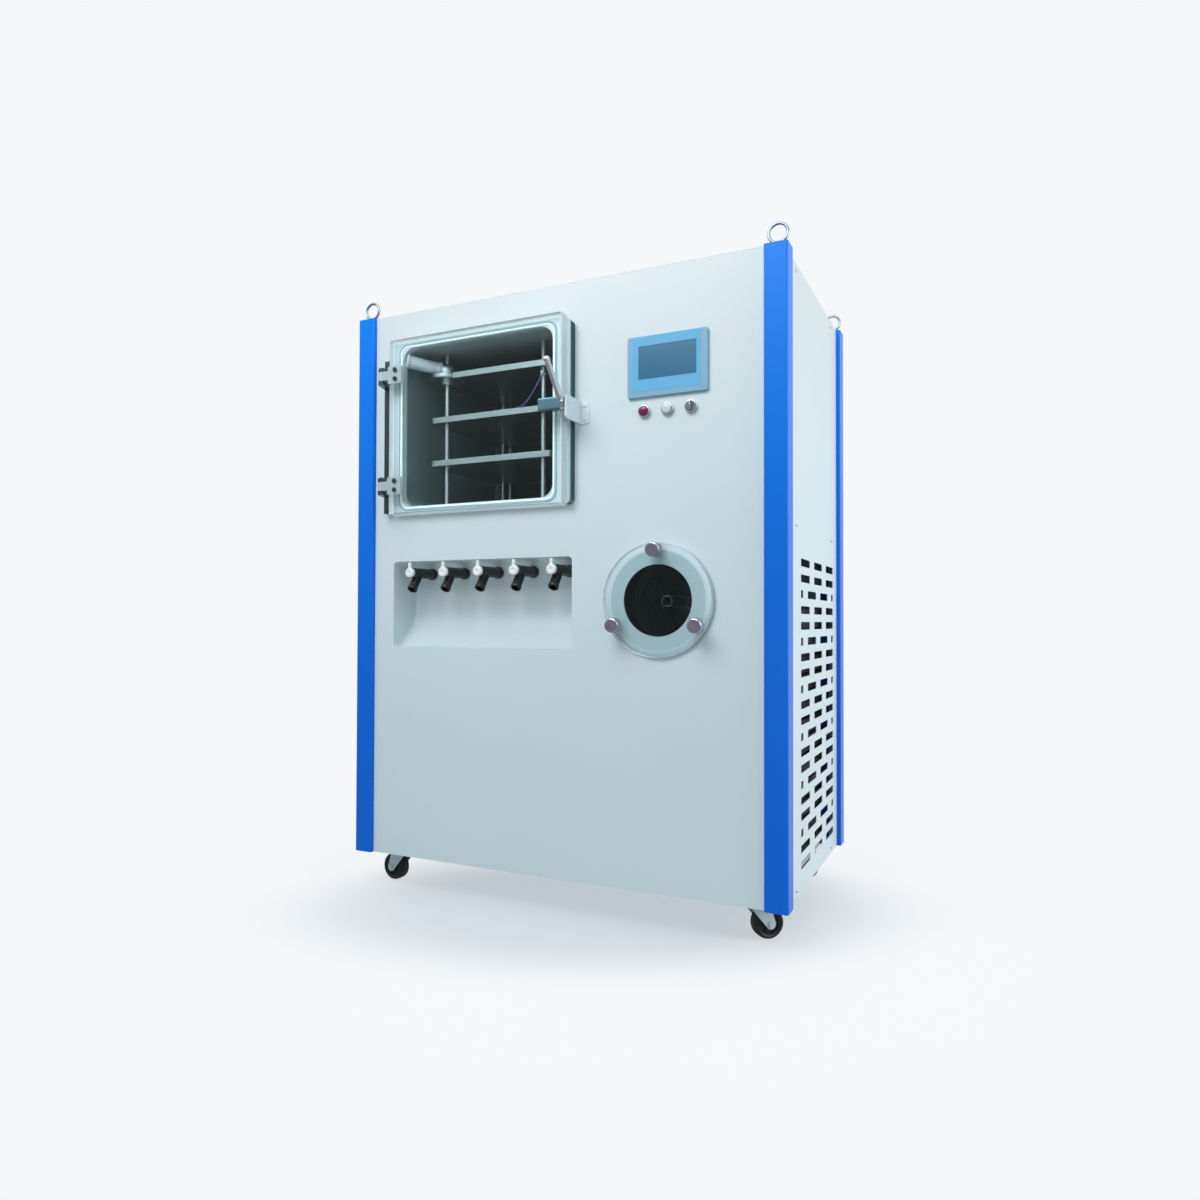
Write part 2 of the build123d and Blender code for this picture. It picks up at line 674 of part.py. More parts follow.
def rear_panel():
    """Folded rear sheet with vent slots and the holes for the pump port and the mains gland."""
    y1 = REAR_FACE_Y
    y0 = REAR_FACE_Y - SHEET
    z0 = CASTER_HEIGHT
    face = block(-PANEL_HALF_X, PANEL_HALF_X, y0, y1, z0, PANEL_TOP_Z)
    slots = vent_slots(REAR_SLOT_ROWS, REAR_SLOT_COLUMNS)
    face -= slab_y(slots, REAR_SLOT_X, REAR_SLOT_FIRST_Z, y0 - 1, y1 + 1)
    face -= rod_y(TRAP_X, TRAP_Z, VACUUM_PIPE_R + FIT_GAP, y0 - 1, y1 + 1)
    face -= rod_y(GLAND_X, GLAND_Z, GLAND_THREAD_R + FIT_GAP, y0 - 1, y1 + 1)
    for x, z in rear_screw_places():
        face -= rod_y(x, z, SCREW_R + FIT_GAP, y0 - 1, y1 + 1)
    side_lips = [
        block(-PANEL_HALF_X, -PANEL_HALF_X + SHEET, y0 - PANEL_LIP, y1, z0, PANEL_TOP_Z - PANEL_LIP),
        block(PANEL_HALF_X - SHEET, PANEL_HALF_X, y0 - PANEL_LIP, y1, z0, PANEL_TOP_Z - PANEL_LIP),
    ]
    bottom_lip = block(-PANEL_HALF_X, PANEL_HALF_X, y0 - PANEL_LIP, y1, z0, z0 + SHEET)
    return face + side_lips[0] + side_lips[1] + bottom_lip


def top_panel():
    """Lid sheet, notched round the posts, with a return that drops inside each panel."""
    z1 = TOP_Z
    z0 = TOP_Z - SHEET
    sheet = block(-SIDE_FACE_X, SIDE_FACE_X, POST_PROUD, REAR_FACE_Y, z0, z1)
    clear = SHEET + FIT_GAP
    drop_x = SIDE_FACE_X - clear
    drop_y0 = POST_PROUD + clear
    drop_y1 = REAR_FACE_Y - clear
    drop = block(-drop_x, drop_x, drop_y0, drop_y1, z0 - LID_RETURN, z0)
    drop -= block(
        -drop_x + SHEET, drop_x - SHEET, drop_y0 + SHEET, drop_y1 - SHEET, z0 - PANEL_LIP, z0 + 1
    )
    lid = sheet + drop
    notch = POST_SIDE + FIT_GAP
    for sx in (-1, 1):
        for y_low, y_high in ((-1, notch), (DEPTH - notch, DEPTH + 1)):
            x_low, x_high = sorted((sx * (HALF_WIDTH - notch), sx * (HALF_WIDTH + 1)))
            lid -= block(x_low, x_high, y_low, y_high, z0 - PANEL_LIP, z1 + 1)
    for y, z in side_screw_places():
        if z > z0 - PANEL_LIP:
            lid -= rod_x(y, z, SCREW_R + FIT_GAP, -HALF_WIDTH, HALF_WIDTH)
    return lid


def button_screw(place, outward):
    """Button-head screw through a panel; place is the point under the head."""
    point = Vector(*place)
    out = Vector(*outward)
    head = rod(tuple(point), tuple(point + out * SCREW_HEAD_H), SCREW_HEAD_R)
    rim = head.edges().filter_by(GeomType.CIRCLE).sort_by_distance(tuple(point + out * SCREW_LENGTH))[:1]
    head = fillet(rim, SCREW_HEAD_ROUND)
    socket_floor = point + out * (SCREW_HEAD_H - SCREW_SOCKET_DEPTH)
    socket_plane = Plane(origin=tuple(socket_floor), z_dir=outward)
    head -= extrude(socket_plane * RegularPolygon(SCREW_SOCKET_R, 6), amount=SCREW_HEAD_H)
    shank = rod(tuple(point - out * SCREW_LENGTH), tuple(point + out * 0.5), SCREW_R)
    return head + shank


def panel_screws():
    screws = []
    for side in (-1, 1):
        for y, z in side_screw_places():
            screws.append(button_screw((side * SIDE_FACE_X, y, z), (side, 0, 0)))
    for x, z in rear_screw_places():
        screws.append(button_screw((x, REAR_FACE_Y, z), (0, 1, 0)))
    return group(screws)


def base_pan():
    """Welded base: a deep folded pan, open below, with lips and a gusset plate at each caster."""
    x1 = PANEL_HALF_X
    y0, y1 = PAN_FRONT_Y, DEPTH - PAN_FRONT_Y
    z0, z1 = CASTER_HEIGHT, PAN_TOP_Z
    pan = block(-x1, x1, y0, y1, z0, z1)
    pan -= block(-x1 + PAN_SHEET, x1 - PAN_SHEET, y0 + PAN_SHEET, y1 - PAN_SHEET, z0 - 1, z1 - PAN_SHEET)
    lips = block(-x1, x1, y0, y1, z0, z0 + PAN_SHEET)
    lips -= block(-x1 + PAN_LIP, x1 - PAN_LIP, y0 + PAN_LIP, y1 - PAN_LIP, z0 - 1, z0 + PAN_SHEET + 1)
    pan += lips
    for sx in (-1, 1):
        x_low, x_high = sorted((sx * x1, sx * (x1 - GUSSET_SIDE)))
        pan += block(x_low, x_high, y0, y0 + GUSSET_SIDE, z0, z0 + GUSSET_THICK)
        pan += block(x_low, x_high, y1 - GUSSET_SIDE, y1, z0, z0 + GUSSET_THICK)
    return pan


def equipment_frame():
    """Welded ladder of square tubes between the side panels: it carries the chamber and the switchgear."""
    z0, z1 = FRAME_TOP_Z - RAIL_H, FRAME_TOP_Z
    x_out = SIDE_FACE_X - SHEET - FIT_GAP
    x_in = x_out - RAIL_W
    y0 = POST_SIDE + FIT_GAP + SHEET + FIT_GAP
    y1 = DEPTH - y0
    hollow_z0, hollow_z1 = z0 + RAIL_WALL, z1 - RAIL_WALL
    solid = block(-x_out, -x_in, y0, y1, z0, z1) + block(x_in, x_out, y0, y1, z0, z1)
    hollow = block(-x_out + RAIL_WALL, -x_in - RAIL_WALL, y0 - 1, y1 + 1, hollow_z0, hollow_z1)
    hollow += block(x_in + RAIL_WALL, x_out - RAIL_WALL, y0 - 1, y1 + 1, hollow_z0, hollow_z1)
    for y in RAIL_YS:
        solid += block(-x_in, x_in, y, y + RAIL_W, z0, z1)
        hollow += block(-x_in, x_in, y + RAIL_WALL, y + RAIL_W - RAIL_WALL, hollow_z0, hollow_z1)
    return solid - hollow


# ================================================================ casters
def caster_axis(side, rear):
    x = side * (HALF_WIDTH - CASTER_INSET)
    y = DEPTH - CASTER_INSET if rear else CASTER_INSET
    return x, y


def caster_plate(side, rear):
    """Top plate with its race and riveted kingpin."""
    x, y = caster_axis(side, rear)
    plate_low = CASTER_HEIGHT - CASTER_PLATE_T
    outline = RectangleRounded(CASTER_PLATE_X, CASTER_PLATE_Y, CASTER_PLATE_RADIUS)
    plate = slab_z(outline, x, y, plate_low, CASTER_HEIGHT)
    race = rod_z(x, y, RACE_R, plate_low - RACE_H, plate_low + 1)
    race = fillet(race.edges().group_by(Axis.Z)[0], RACE_ROUND)
    crown_low = plate_low - RACE_H - SWIVEL_GAP - FORK_SHEET
    pin = rod_z(x, y, KINGPIN_R, crown_low - SWIVEL_GAP - KINGPIN_HEAD, plate_low)
    head = rod_z(x, y, KINGPIN_HEAD_R, crown_low - SWIVEL_GAP - KINGPIN_HEAD, crown_low - SWIVEL_GAP)
    return plate + race + pin + head


def fork_leg(offset_low, offset_high, crown_low):
    """One pressed leg, in the caster's own frame: swivel axis at X = 0, axle at X = SWIVEL_TRAIL."""
    top_z = crown_low + FORK_SHEET - FORK_LEG_TOP_H / 2
    outline = make_hull(
        [
            *(Pos(SWIVEL_TRAIL, WHEEL_R) * Circle(FORK_LEG_END_R)).edges(),
            *(Pos(0, top_z) * Rectangle(2 * CROWN_R - FORK_LEG_TOP_H, FORK_LEG_TOP_H)).edges(),
        ]
    )
    plane = Plane(origin=(0, offset_high, 0), x_dir=(1, 0, 0), z_dir=(0, -1, 0))
    return extrude(plane * outline, amount=offset_high - offset_low)


def caster_fork(side, rear, heading):
    """Pressed swivel fork with its riveted axle."""
    x, y = caster_axis(side, rear)
    crown_high = CASTER_HEIGHT - CASTER_PLATE_T - RACE_H - SWIVEL_GAP
    crown_low = crown_high - FORK_SHEET
    half_gap = WHEEL_WIDTH / 2 + WHEEL_SIDE_GAP
    crown = rod_z(0, 0, CROWN_R, crown_low, crown_high)
    fork = crown
    for sign in (-1, 1):
        low, high = sorted((sign * half_gap, sign * (half_gap + FORK_SHEET)))
        fork += fork_leg(low, high, crown_low)
    axle_end = half_gap + FORK_SHEET + AXLE_HEAD
    fork += rod_y(SWIVEL_TRAIL, WHEEL_R, AXLE_R, -axle_end, axle_end)
    for sign in (-1, 1):
        low, high = sorted((sign * (half_gap + FORK_SHEET), sign * axle_end))
        fork += rod_y(SWIVEL_TRAIL, WHEEL_R, AXLE_HEAD_R, low, high)
    fork -= rod_z(0, 0, KINGPIN_R + RUNNING, crown_low - 1, crown_high + 1)
    return Pos(x, y, 0) * Rot(0, 0, heading) * fork


def caster_wheel(side, rear, heading):
    """Moulded wheel with a rounded tread, sunk faces and a plain bore."""
    x, y = caster_axis(side, rear)
    half = WHEEL_WIDTH / 2
    wheel = rod_y(SWIVEL_TRAIL, WHEEL_R, WHEEL_R, -half, half)
    wheel = fillet(wheel.edges().filter_by(GeomType.CIRCLE), WHEEL_SHOULDER)
    for sign in (-1, 1):
        low, high = sorted((sign * (half - WHEEL_DISH), sign * (half + 1)))
        ring = rod_y(SWIVEL_TRAIL, WHEEL_R, WHEEL_RIM_R, low, high)
        wheel -= ring - rod_y(SWIVEL_TRAIL, WHEEL_R, WHEEL_HUB_R, low - 1, high + 1)
    wheel -= rod_y(SWIVEL_TRAIL, WHEEL_R, AXLE_R + RUNNING, -half - 1, half + 1)
    return Pos(x, y, 0) * Rot(0, 0, heading) * wheel


# ================================================================ product chamber
def chamber_shell():
    """Welded stainless box with its deep front flange, vapour outlet and oil pipe holes."""
    shell_y1 = CHAMBER_BACK_Y
    outer_w, outer_h = CHAMBER_W + 2 * CHAMBER_WALL, CHAMBER_H + 2 * CHAMBER_WALL
    outer_r = CHAMBER_RADIUS + CHAMBER_WALL
    body = slab_y(RectangleRounded(outer_w, outer_h, outer_r), CHAMBER_X, CHAMBER_Z, FLANGE_Y, shell_y1)
    flange_face = RectangleRounded(FLANGE_W, FLANGE_H, FLANGE_RADIUS)
    flange = slab_y(flange_face, CHAMBER_X, CHAMBER_Z, FLANGE_Y, POST_PROUD)
    flange = fillet(flange.faces().sort_by(Axis.Y)[0].outer_wire().edges(), FLANGE_ROUND)
    shell = body + flange
    shell -= slab_y(
        RectangleRounded(CHAMBER_W, CHAMBER_H, CHAMBER_RADIUS),
        CHAMBER_X,
        CHAMBER_Z,
        FLANGE_Y - 1,
        shell_y1 - CHAMBER_WALL,
    )
    wall_x = CHAMBER_X + CHAMBER_W / 2
    shell -= rod_x(DUCT_Y, DUCT_Z, DUCT_R - DUCT_WALL, wall_x - 1, wall_x + CHAMBER_WALL + 1)
    for x in riser_xs():
        shell -= rod_z(x, RISER_Y, RISER_R, CHAMBER_FLOOR_Z - CHAMBER_WALL - 1, CHAMBER_FLOOR_Z + 1)
    return shell


def door_gasket():
    """Silicone ring that lies on the flange round the opening."""
    inner_w, inner_h = CHAMBER_W + 2 * GASKET_INSET, CHAMBER_H + 2 * GASKET_INSET
    inner_r = CHAMBER_RADIUS + GASKET_INSET
    inner = RectangleRounded(inner_w, inner_h, inner_r)
    outer = RectangleRounded(inner_w + 2 * GASKET_BAND, inner_h + 2 * GASKET_BAND, inner_r + GASKET_BAND)
    return slab_y(outer - inner, CHAMBER_X, CHAMBER_Z, FLANGE_Y - GASKET_T, FLANGE_Y)


def shelf_z(index):
    """Underside of a shelf, the lowest being index 0."""
    return CHAMBER_FLOOR_Z + SHELF_FIRST_RISE - SHELF_T / 2 + index * SHELF_PITCH


def rod_places():
    xs = (CHAMBER_X - SHELF_W / 2 + ROD_INSET_X, CHAMBER_X + SHELF_W / 2 - ROD_INSET_X)
    ys = (SHELF_FRONT_Y + ROD_INSET_Y, SHELF_FRONT_Y + SHELF_D - ROD_INSET_Y)
    return [(x, y) for x in xs for y in ys]


def shelves():
    """Hollow-plate shelves; the highest is cut away round the flanged guide bush."""
    made = []
    for index in range(SHELF_COUNT):
        z = shelf_z(index)
        y = SHELF_FRONT_Y + SHELF_D / 2
        plate = slab_z(RectangleRounded(SHELF_W, SHELF_D, SHELF_RADIUS), CHAMBER_X, y, z, z + SHELF_T)
        plate = fillet(plate.faces().sort_by(Axis.Z)[-1].outer_wire().edges(), SHELF_ROUND)
        for rod_x_place, rod_y_place in rod_places():
            plate -= rod_z(rod_x_place, rod_y_place, ROD_R + FIT_GAP / 2, z - 1, z + SHELF_T + 1)
        if index == SHELF_COUNT - 1:
            bush_x, bush_y = rod_places()[0]
            plate -= rod_z(bush_x, bush_y, BUSH_FLANGE_R + SEAL_GAP, z - 1, z + SHELF_T + 1)
        made.append(plate)
    return group(made)


def shelf_rods():
    """Four guide rods from floor to roof of the chamber, and the domed bush on the front left one."""
    made = []
    top = CHAMBER_Z + CHAMBER_H / 2
    for x, y in rod_places():
        made.append(rod_z(x, y, ROD_R, CHAMBER_FLOOR_Z, top))
    x, y = rod_places()[0]
    flange_z = shelf_z(SHELF_COUNT - 1) + (SHELF_T - BUSH_FLANGE_T) / 2
    flange = rod_z(x, y, BUSH_FLANGE_R, flange_z, flange_z + BUSH_FLANGE_T)
    flange = fillet(flange.edges().filter_by(GeomType.CIRCLE), BUSH_FLANGE_ROUND)
    dome_top = flange_z + BUSH_FLANGE_T + BUSH_DOME_H
    dome = rod_z(x, y, BUSH_DOME_R, flange_z + BUSH_FLANGE_ROUND, dome_top)
    dome = fillet(dome.edges().group_by(Axis.Z)[-1], BUSH_DOME_ROUND)
    collar_low = flange_z - BUSH_COLLAR_L
    collar = rod_z(x, y, BUSH_COLLAR_R, collar_low, flange_z + BUSH_FLANGE_ROUND)
    bush = flange + dome + collar - rod_z(x, y, ROD_R + FIT_GAP / 2, collar_low - 1, dome_top + 1)
    return group(made + [bush])


def riser_xs():
    reach = SHELF_W / 2 - RISER_INSET
    return (CHAMBER_X - reach, CHAMBER_X + reach)


def oil_risers():
    """Supply and return pipes for the shelf oil, with a branch into the back of each shelf."""
    made = []
    bottom = PAN_TOP_Z + BATH_H
    top = shelf_z(SHELF_COUNT - 1) + SHELF_T / 2
    shelf_back = SHELF_FRONT_Y + SHELF_D
    for x in riser_xs():
        riser = rod_z(x, RISER_Y, RISER_R, bottom, top + RISER_R)
        for index in range(SHELF_COUNT):
            z = shelf_z(index) + SHELF_T / 2
            riser += rod_y(x, z, RISER_BRANCH_R, shelf_back, RISER_Y)
        made.append(riser)
    return group(made)


def probe_route():
    """Centreline of the product probe lead, from its clip on the front right rod to the middle shelf."""
    x, y = rod_places()[2]
    low = shelf_z(1) + SHELF_T
    front = y - ROD_R - PROBE_R - PROBE_STANDOFF
    return [(x + along, front + out, low + up) for along, out, up in PROBE_STEPS]


def route_radii(points):
    """Arc radius at each inner corner: a share of the shorter run over the tangent of half the turn."""
    radii = []
    for a, b, c in zip(points, points[1:], points[2:]):
        one = Vector(*b) - Vector(*a)
        two = Vector(*c) - Vector(*b)
        half_turn = math.radians(one.get_angle(two)) / 2
        radii.append(PROBE_BEND_SHARE * min(one.length, two.length) / math.tan(half_turn))
    return radii


def probe_lead():
    """Thin lead of the product probe."""
    path = FilletPolyline(*probe_route(), radius=route_radii(probe_route()))
    section = Plane(origin=path @ 0, z_dir=path % 0) * Circle(PROBE_R)
    return sweep(section, path=path)


def probe_fittings():
    """Spring clip with its lead sleeve on the guide rod, and the probe's metal tip on the shelf."""
    points = [Vector(*point) for point in probe_route()]
    first = (points[1] - points[0]).normalized()
    last = (points[-1] - points[-2]).normalized()
    x, y = rod_places()[2]
    clip_z = points[0].Z + PROBE_SLEEVE / 2
    ring = rod_z(x, y, ROD_R + CLIP_WALL, clip_z - CLIP_H / 2, clip_z + CLIP_H / 2)
    sleeve = rod(tuple(points[0] - first * PROBE_SLEEVE), tuple(points[0]), PROBE_R + CLIP_WALL / 2)
    neck = block(x - CLIP_WALL, x + CLIP_WALL, points[0].Y, y, clip_z, clip_z + CLIP_WALL * 2)
    clip = ring + neck + sleeve - rod_z(x, y, ROD_R + FIT_GAP / 2, clip_z - CLIP_H, clip_z + CLIP_H)
    tip = rod(tuple(points[-1]), tuple(points[-1] + last * PROBE_TIP_L), PROBE_TIP_R)
    return group([clip, tip])


# ================================================================ door and latch
def door_plate():
    """Thick clear plate with eased edges and blind tapped holes for the hinge leaves."""
    outline = RectangleRounded(DOOR_W, DOOR_H, DOOR_RADIUS)
    plate = slab_y(outline, DOOR_X, CHAMBER_Z, DOOR_FRONT_Y, DOOR_BACK_Y)
    rim = plate.faces().sort_by(Axis.Y)
    edges = rim[0].outer_wire().edges() + rim[-1].outer_wire().edges()
    plate = chamfer(edges, DOOR_EDGE)
    for x, z in leaf_bolt_places():
        plate -= rod_y(x, z, LEAF_BOLT_R, DOOR_FRONT_Y - 1, DOOR_FRONT_Y + LEAF_BOLT_DEPTH)
    return plate


def leaf_bolt_places():
    x = DOOR_LEFT_X + LEAF_BOLT_FROM_EDGE
    return [(x, z + sign * LEAF_BOLT_SPREAD / 2) for z in HINGE_ZS for sign in (-1, 1)]


def hinge_leaf(z):
    """One leaf on the door's front, with the knuckle that turns on the bracket's pin."""
    leaf_y0 = DOOR_FRONT_Y - HINGE_LEAF_T
    half = HINGE_KNUCKLE_H / 2
    outline = Pos(DOOR_LEFT_X + HINGE_LEAF_END / 2, 0) * RectangleRounded(
        HINGE_LEAF_END, HINGE_LEAF_H, HINGE_LEAF_RADIUS
    )
    leaf = slab_y(outline, 0, z, leaf_y0, DOOR_FRONT_Y)
    leaf += block(HINGE_X, DOOR_LEFT_X + HINGE_LEAF_RADIUS, leaf_y0, DOOR_FRONT_Y, z - half, z + half)
    leaf += rod_z(HINGE_X, HINGE_Y, HINGE_KNUCKLE_R, z - half, z + half)
    leaf -= rod_z(HINGE_X, HINGE_Y, HINGE_PIN_R + RUNNING, z - half - 1, z + half + 1)
    for x, bolt_z in leaf_bolt_places():
        leaf -= rod_y(x, bolt_z, LEAF_BOLT_R, leaf_y0 - 1, DOOR_FRONT_Y + 1)
    return leaf


def leaf_bolt(x, z):
    """Socket cap screw that holds a leaf to the door."""
    seat_y = DOOR_FRONT_Y - HINGE_LEAF_T
    head_y = seat_y - LEAF_BOLT_HEAD
    head = rod_y(x, z, LEAF_BOLT_HEAD_R, head_y, seat_y)
    head = fillet(head.edges().group_by(Axis.Y)[0], LEAF_BOLT_HEAD / 4)
    socket = Plane(origin=(x, seat_y - LEAF_BOLT_HEAD / 2, z), z_dir=(0, -1, 0))
    head -= extrude(socket * RegularPolygon(LEAF_SOCKET_R, 6), amount=LEAF_BOLT_HEAD)
    return head + rod_y(x, z, LEAF_BOLT_R, seat_y - 1, DOOR_FRONT_Y + LEAF_BOLT_DEPTH - 1)


def door_hinge_leaves():
    """Both hinge leaves and their four cap screws."""
    return group([hinge_leaf(z) for z in HINGE_ZS] + [leaf_bolt(x, z) for x, z in leaf_bolt_places()])


def hinge_bracket():
    """Bar on the front panel with two pairs of lugs and their riveted pins."""
    bar_x = HINGE_X - HINGE_BAR_OUT
    half_w = HINGE_BAR_W / 2
    bar_y0 = POST_PROUD - HINGE_BAR_PROUD
    bar_z0 = HINGE_CENTRE_Z - HINGE_BAR_BELOW
    bar = block(bar_x - half_w, bar_x + half_w, bar_y0, POST_PROUD, bar_z0, bar_z0 + HINGE_BAR_LENGTH)
    bar = fillet(bar.faces().sort_by(Axis.Y)[0].edges(), HINGE_BAR_ROUND)
    foot_t = HINGE_BAR_PROUD / 4
    foot = Pos(bar_x, bar_y0 + foot_t / 2) * Rectangle(HINGE_BAR_W, foot_t)
    lug = make_hull([*(Pos(HINGE_X, HINGE_Y) * Circle(HINGE_KNUCKLE_R)).edges(), *foot.edges()])
    inner = HINGE_KNUCKLE_H / 2 + SEAL_GAP
    outer = inner + HINGE_LUG_T
    for z in HINGE_ZS:
        bar += slab_z(lug, 0, 0, z - outer, z - inner)
        bar += slab_z(lug, 0, 0, z + inner, z + outer)
        bar += rod_z(HINGE_X, HINGE_Y, HINGE_PIN_R, z - outer, z + outer)
        cap = rod_z(HINGE_X, HINGE_Y, HINGE_CAP_R, z + outer, z + outer + HINGE_CAP_T)
        bar += fillet(cap.edges().group_by(Axis.Z)[-1], HINGE_CAP_T / 2)
    return bar


def latch_block():
    """Bearing block of the door latch, bored for the lever's shaft."""
    x0, x1 = LATCH_RIGHT_X - LATCH_BLOCK_W, LATCH_RIGHT_X
    z0, z1 = LATCH_Z - LATCH_BLOCK_H / 2, LATCH_Z + LATCH_BLOCK_H / 2
    body = block(x0, x1, DOOR_FRONT_Y - LATCH_BLOCK_D, DOOR_FRONT_Y, z0, z1)
    body = fillet(edges_along(body, Axis.X).sort_by(Axis.Y)[:2], LATCH_BLOCK_ROUND)
    body = chamfer(body.faces().sort_by(Axis.X)[0].edges(), LATCH_BLOCK_ROUND / 4)
    return body - rod_x(LATCH_Y, LATCH_Z, LATCH_SHAFT_R + RUNNING, x1 - LATCH_SHAFT_IN - 1, x1 + 1)


def lever_tip():
    lean = math.radians(LEVER_LEAN_DEG)
    return LATCH_Y - LEVER_LENGTH * math.sin(lean), LATCH_Z + LEVER_LENGTH * math.cos(lean)


def latch_lever():
    """Lever with its shaft; the hub's slot takes the strike pin and faces the cabinet at rest."""
    x1 = HUB_X + HUB_T
    shaft = rod_x(LATCH_Y, LATCH_Z, LATCH_SHAFT_R, LATCH_RIGHT_X - LATCH_SHAFT_IN, HUB_X + 1)
    hub = rod_x(LATCH_Y, LATCH_Z, HUB_R, HUB_X, x1)
    hub = chamfer(hub.edges().filter_by(GeomType.CIRCLE), LEVER_ROUND / 2)
    tip_y, tip_z = lever_tip()
    root = Pos(LATCH_Y, LATCH_Z) * Circle(LEVER_ROOT_W / 2)
    end = Pos(tip_y, tip_z) * Circle(LEVER_TIP_R - 1)
    arm = slab_x(make_hull([*root.edges(), *end.edges()]), 0, 0, HUB_X, HUB_X + LEVER_T)
    sides = arm.faces().sort_by(Axis.X)
    arm = fillet(sides[0].edges() + sides[-1].edges(), LEVER_ROUND)
    grip = rod_x(tip_y, tip_z, LEVER_TIP_R, HUB_X - 1, HUB_X + LEVER_T + LEVER_ROUND)
    grip = fillet(grip.edges().filter_by(GeomType.CIRCLE), LEVER_TIP_ROUND)
    slot_half = STRIKE_PIN_R + STRIKE_PIN_GAP
    slot_x0 = x1 - HUB_SLOT_T
    slot = block(slot_x0, x1 + 1, LATCH_Y, LATCH_Y + HUB_R + 1, LATCH_Z - slot_half, LATCH_Z + slot_half)
    slot += rod_x(LATCH_Y, LATCH_Z, slot_half, slot_x0, x1 + 1)
    return shaft + hub + arm + grip - slot


def latch_strike():
    """White bracket on the front panel with the pin that the lever's slotted hub turns round."""
    y0 = LATCH_Y - STRIKE_BEYOND
    z0 = LATCH_Z - STRIKE_BELOW
    foot_x1 = STRIKE_X + STRIKE_FOOT
    foot_y0 = POST_PROUD - STRIKE_FOOT_T
    leg = block(STRIKE_X, STRIKE_X + STRIKE_T, y0, POST_PROUD, z0, z0 + STRIKE_H)
    leg = fillet(edges_along(leg, Axis.X).sort_by(Axis.Y)[:2], STRIKE_ROUND)
    foot = block(STRIKE_X, foot_x1, foot_y0, POST_PROUD, z0, z0 + STRIKE_H)
    foot = fillet(edges_along(foot, Axis.Y).sort_by(Axis.X)[-2:], STRIKE_ROUND)
    pin = rod_x(LATCH_Y, LATCH_Z, STRIKE_PIN_R, STRIKE_PIN_TIP_X, STRIKE_X + STRIKE_T + 2)
    bracket = leg + foot + pin
    for z in (z0 + STRIKE_SCREW_END, z0 + STRIKE_H - STRIKE_SCREW_END):
        x = foot_x1 - STRIKE_SCREW_END
        screw = rod_y(x, z, SCREW_HEAD_R, foot_y0 - SCREW_HEAD_H, foot_y0)
        bracket += fillet(screw.edges().group_by(Axis.Y)[0], STRIKE_SCREW_ROUND)
    return bracket


# ================================================================ manifold
def recess_profile(grow):
    """Side section of the recess about its centre height: straight back, then a scoop to the front lip."""
    half = RECESS_H / 2 + grow
    y0 = POST_PROUD + SHEET
    y1 = RECESS_BACK_Y + grow
    line = FilletPolyline(
        (y0, half),
        (y1, half),
        (y1, -RECESS_SCOOP_DROP),
        (y0 + RECESS_SHELF, -half),
        (y0, -half),
        radius=[RECESS_TOP_R + grow, RECESS_SCOOP_R, RECESS_LIP_R],
    )
    return make_face([*line.edges(), Line((y0, -half), (y0, half))])


def recess_form(grow):
    """The recess as a solid: outer form when grow is the sheet, inner form when it is 0."""
    half_w = RECESS_W / 2 + grow
    form = slab_x(recess_profile(grow), 0, RECESS_Z, RECESS_X - half_w, RECESS_X + half_w)
    ends = form.faces().filter_by(Axis.X)
    rear_edges = []
    for face in ends:
        for edge in face.outer_wire().edges():
            middle = edge @ 0.5
            if middle.Y > POST_PROUD + SHEET + 0.5:
                rear_edges.append(edge)
    return fillet(rear_edges, RECESS_INNER_R + grow)


def manifold_recess():
    """Pressed and welded white recess that the sample ports stand in, with a rim behind the panel."""
    tray = recess_form(SHEET) - recess_form(0.0)
    y0 = POST_PROUD + SHEET
    mouth = RectangleRounded(RECESS_W, RECESS_H, RECESS_CORNER)
    edge = RectangleRounded(RECESS_W + 2 * RECESS_RIM, RECESS_H + 2 * RECESS_RIM, RECESS_CORNER)
    tray += slab_y(edge - mouth, RECESS_X, RECESS_Z, y0, y0 + SHEET)
    for x in VALVE_XS:
        tray -= rod_y(x, VALVE_Z, STUB_R + FIT_GAP, RECESS_BACK_Y - 3, RECESS_BACK_Y + SHEET + 3)
    return tray


def manifold_header():
    """Welded header pipe with one stub for each sample valve, let into the cold trap's side."""
    left = RECESS_X - RECESS_W / 2 + HEADER_END_INSET
    right = TRAP_X
    pipe = rod_x(HEADER_Y, VALVE_Z, HEADER_R, left, right)
    bore = rod_x(HEADER_Y, VALVE_Z, HEADER_R - HEADER_WALL, left + HEADER_WALL, right + 1)
    stub_y0 = RECESS_BACK_Y - STUB_GRIP
    for x in VALVE_XS:
        pipe += rod_y(x, VALVE_Z, STUB_R, stub_y0, HEADER_Y)
        bore += rod_y(x, VALVE_Z, STUB_R - STUB_WALL, stub_y0 - 1, HEADER_Y)
    return pipe - bore - rod_y(TRAP_X, TRAP_Z, TRAP_R, POST_PROUD, TRAP_BACK_Y)


def branch_frame():
    """Root, end and direction of a valve's sample branch, seen from the side."""
    lean = math.radians(BRANCH_DEG)
    direction = (0.0, -math.sin(lean), -math.cos(lean))
    end_y = BRANCH_ROOT_Y + BRANCH_LENGTH * direction[1]
    end_z = VALVE_Z + BRANCH_LENGTH * direction[2]
    return direction, end_y, end_z


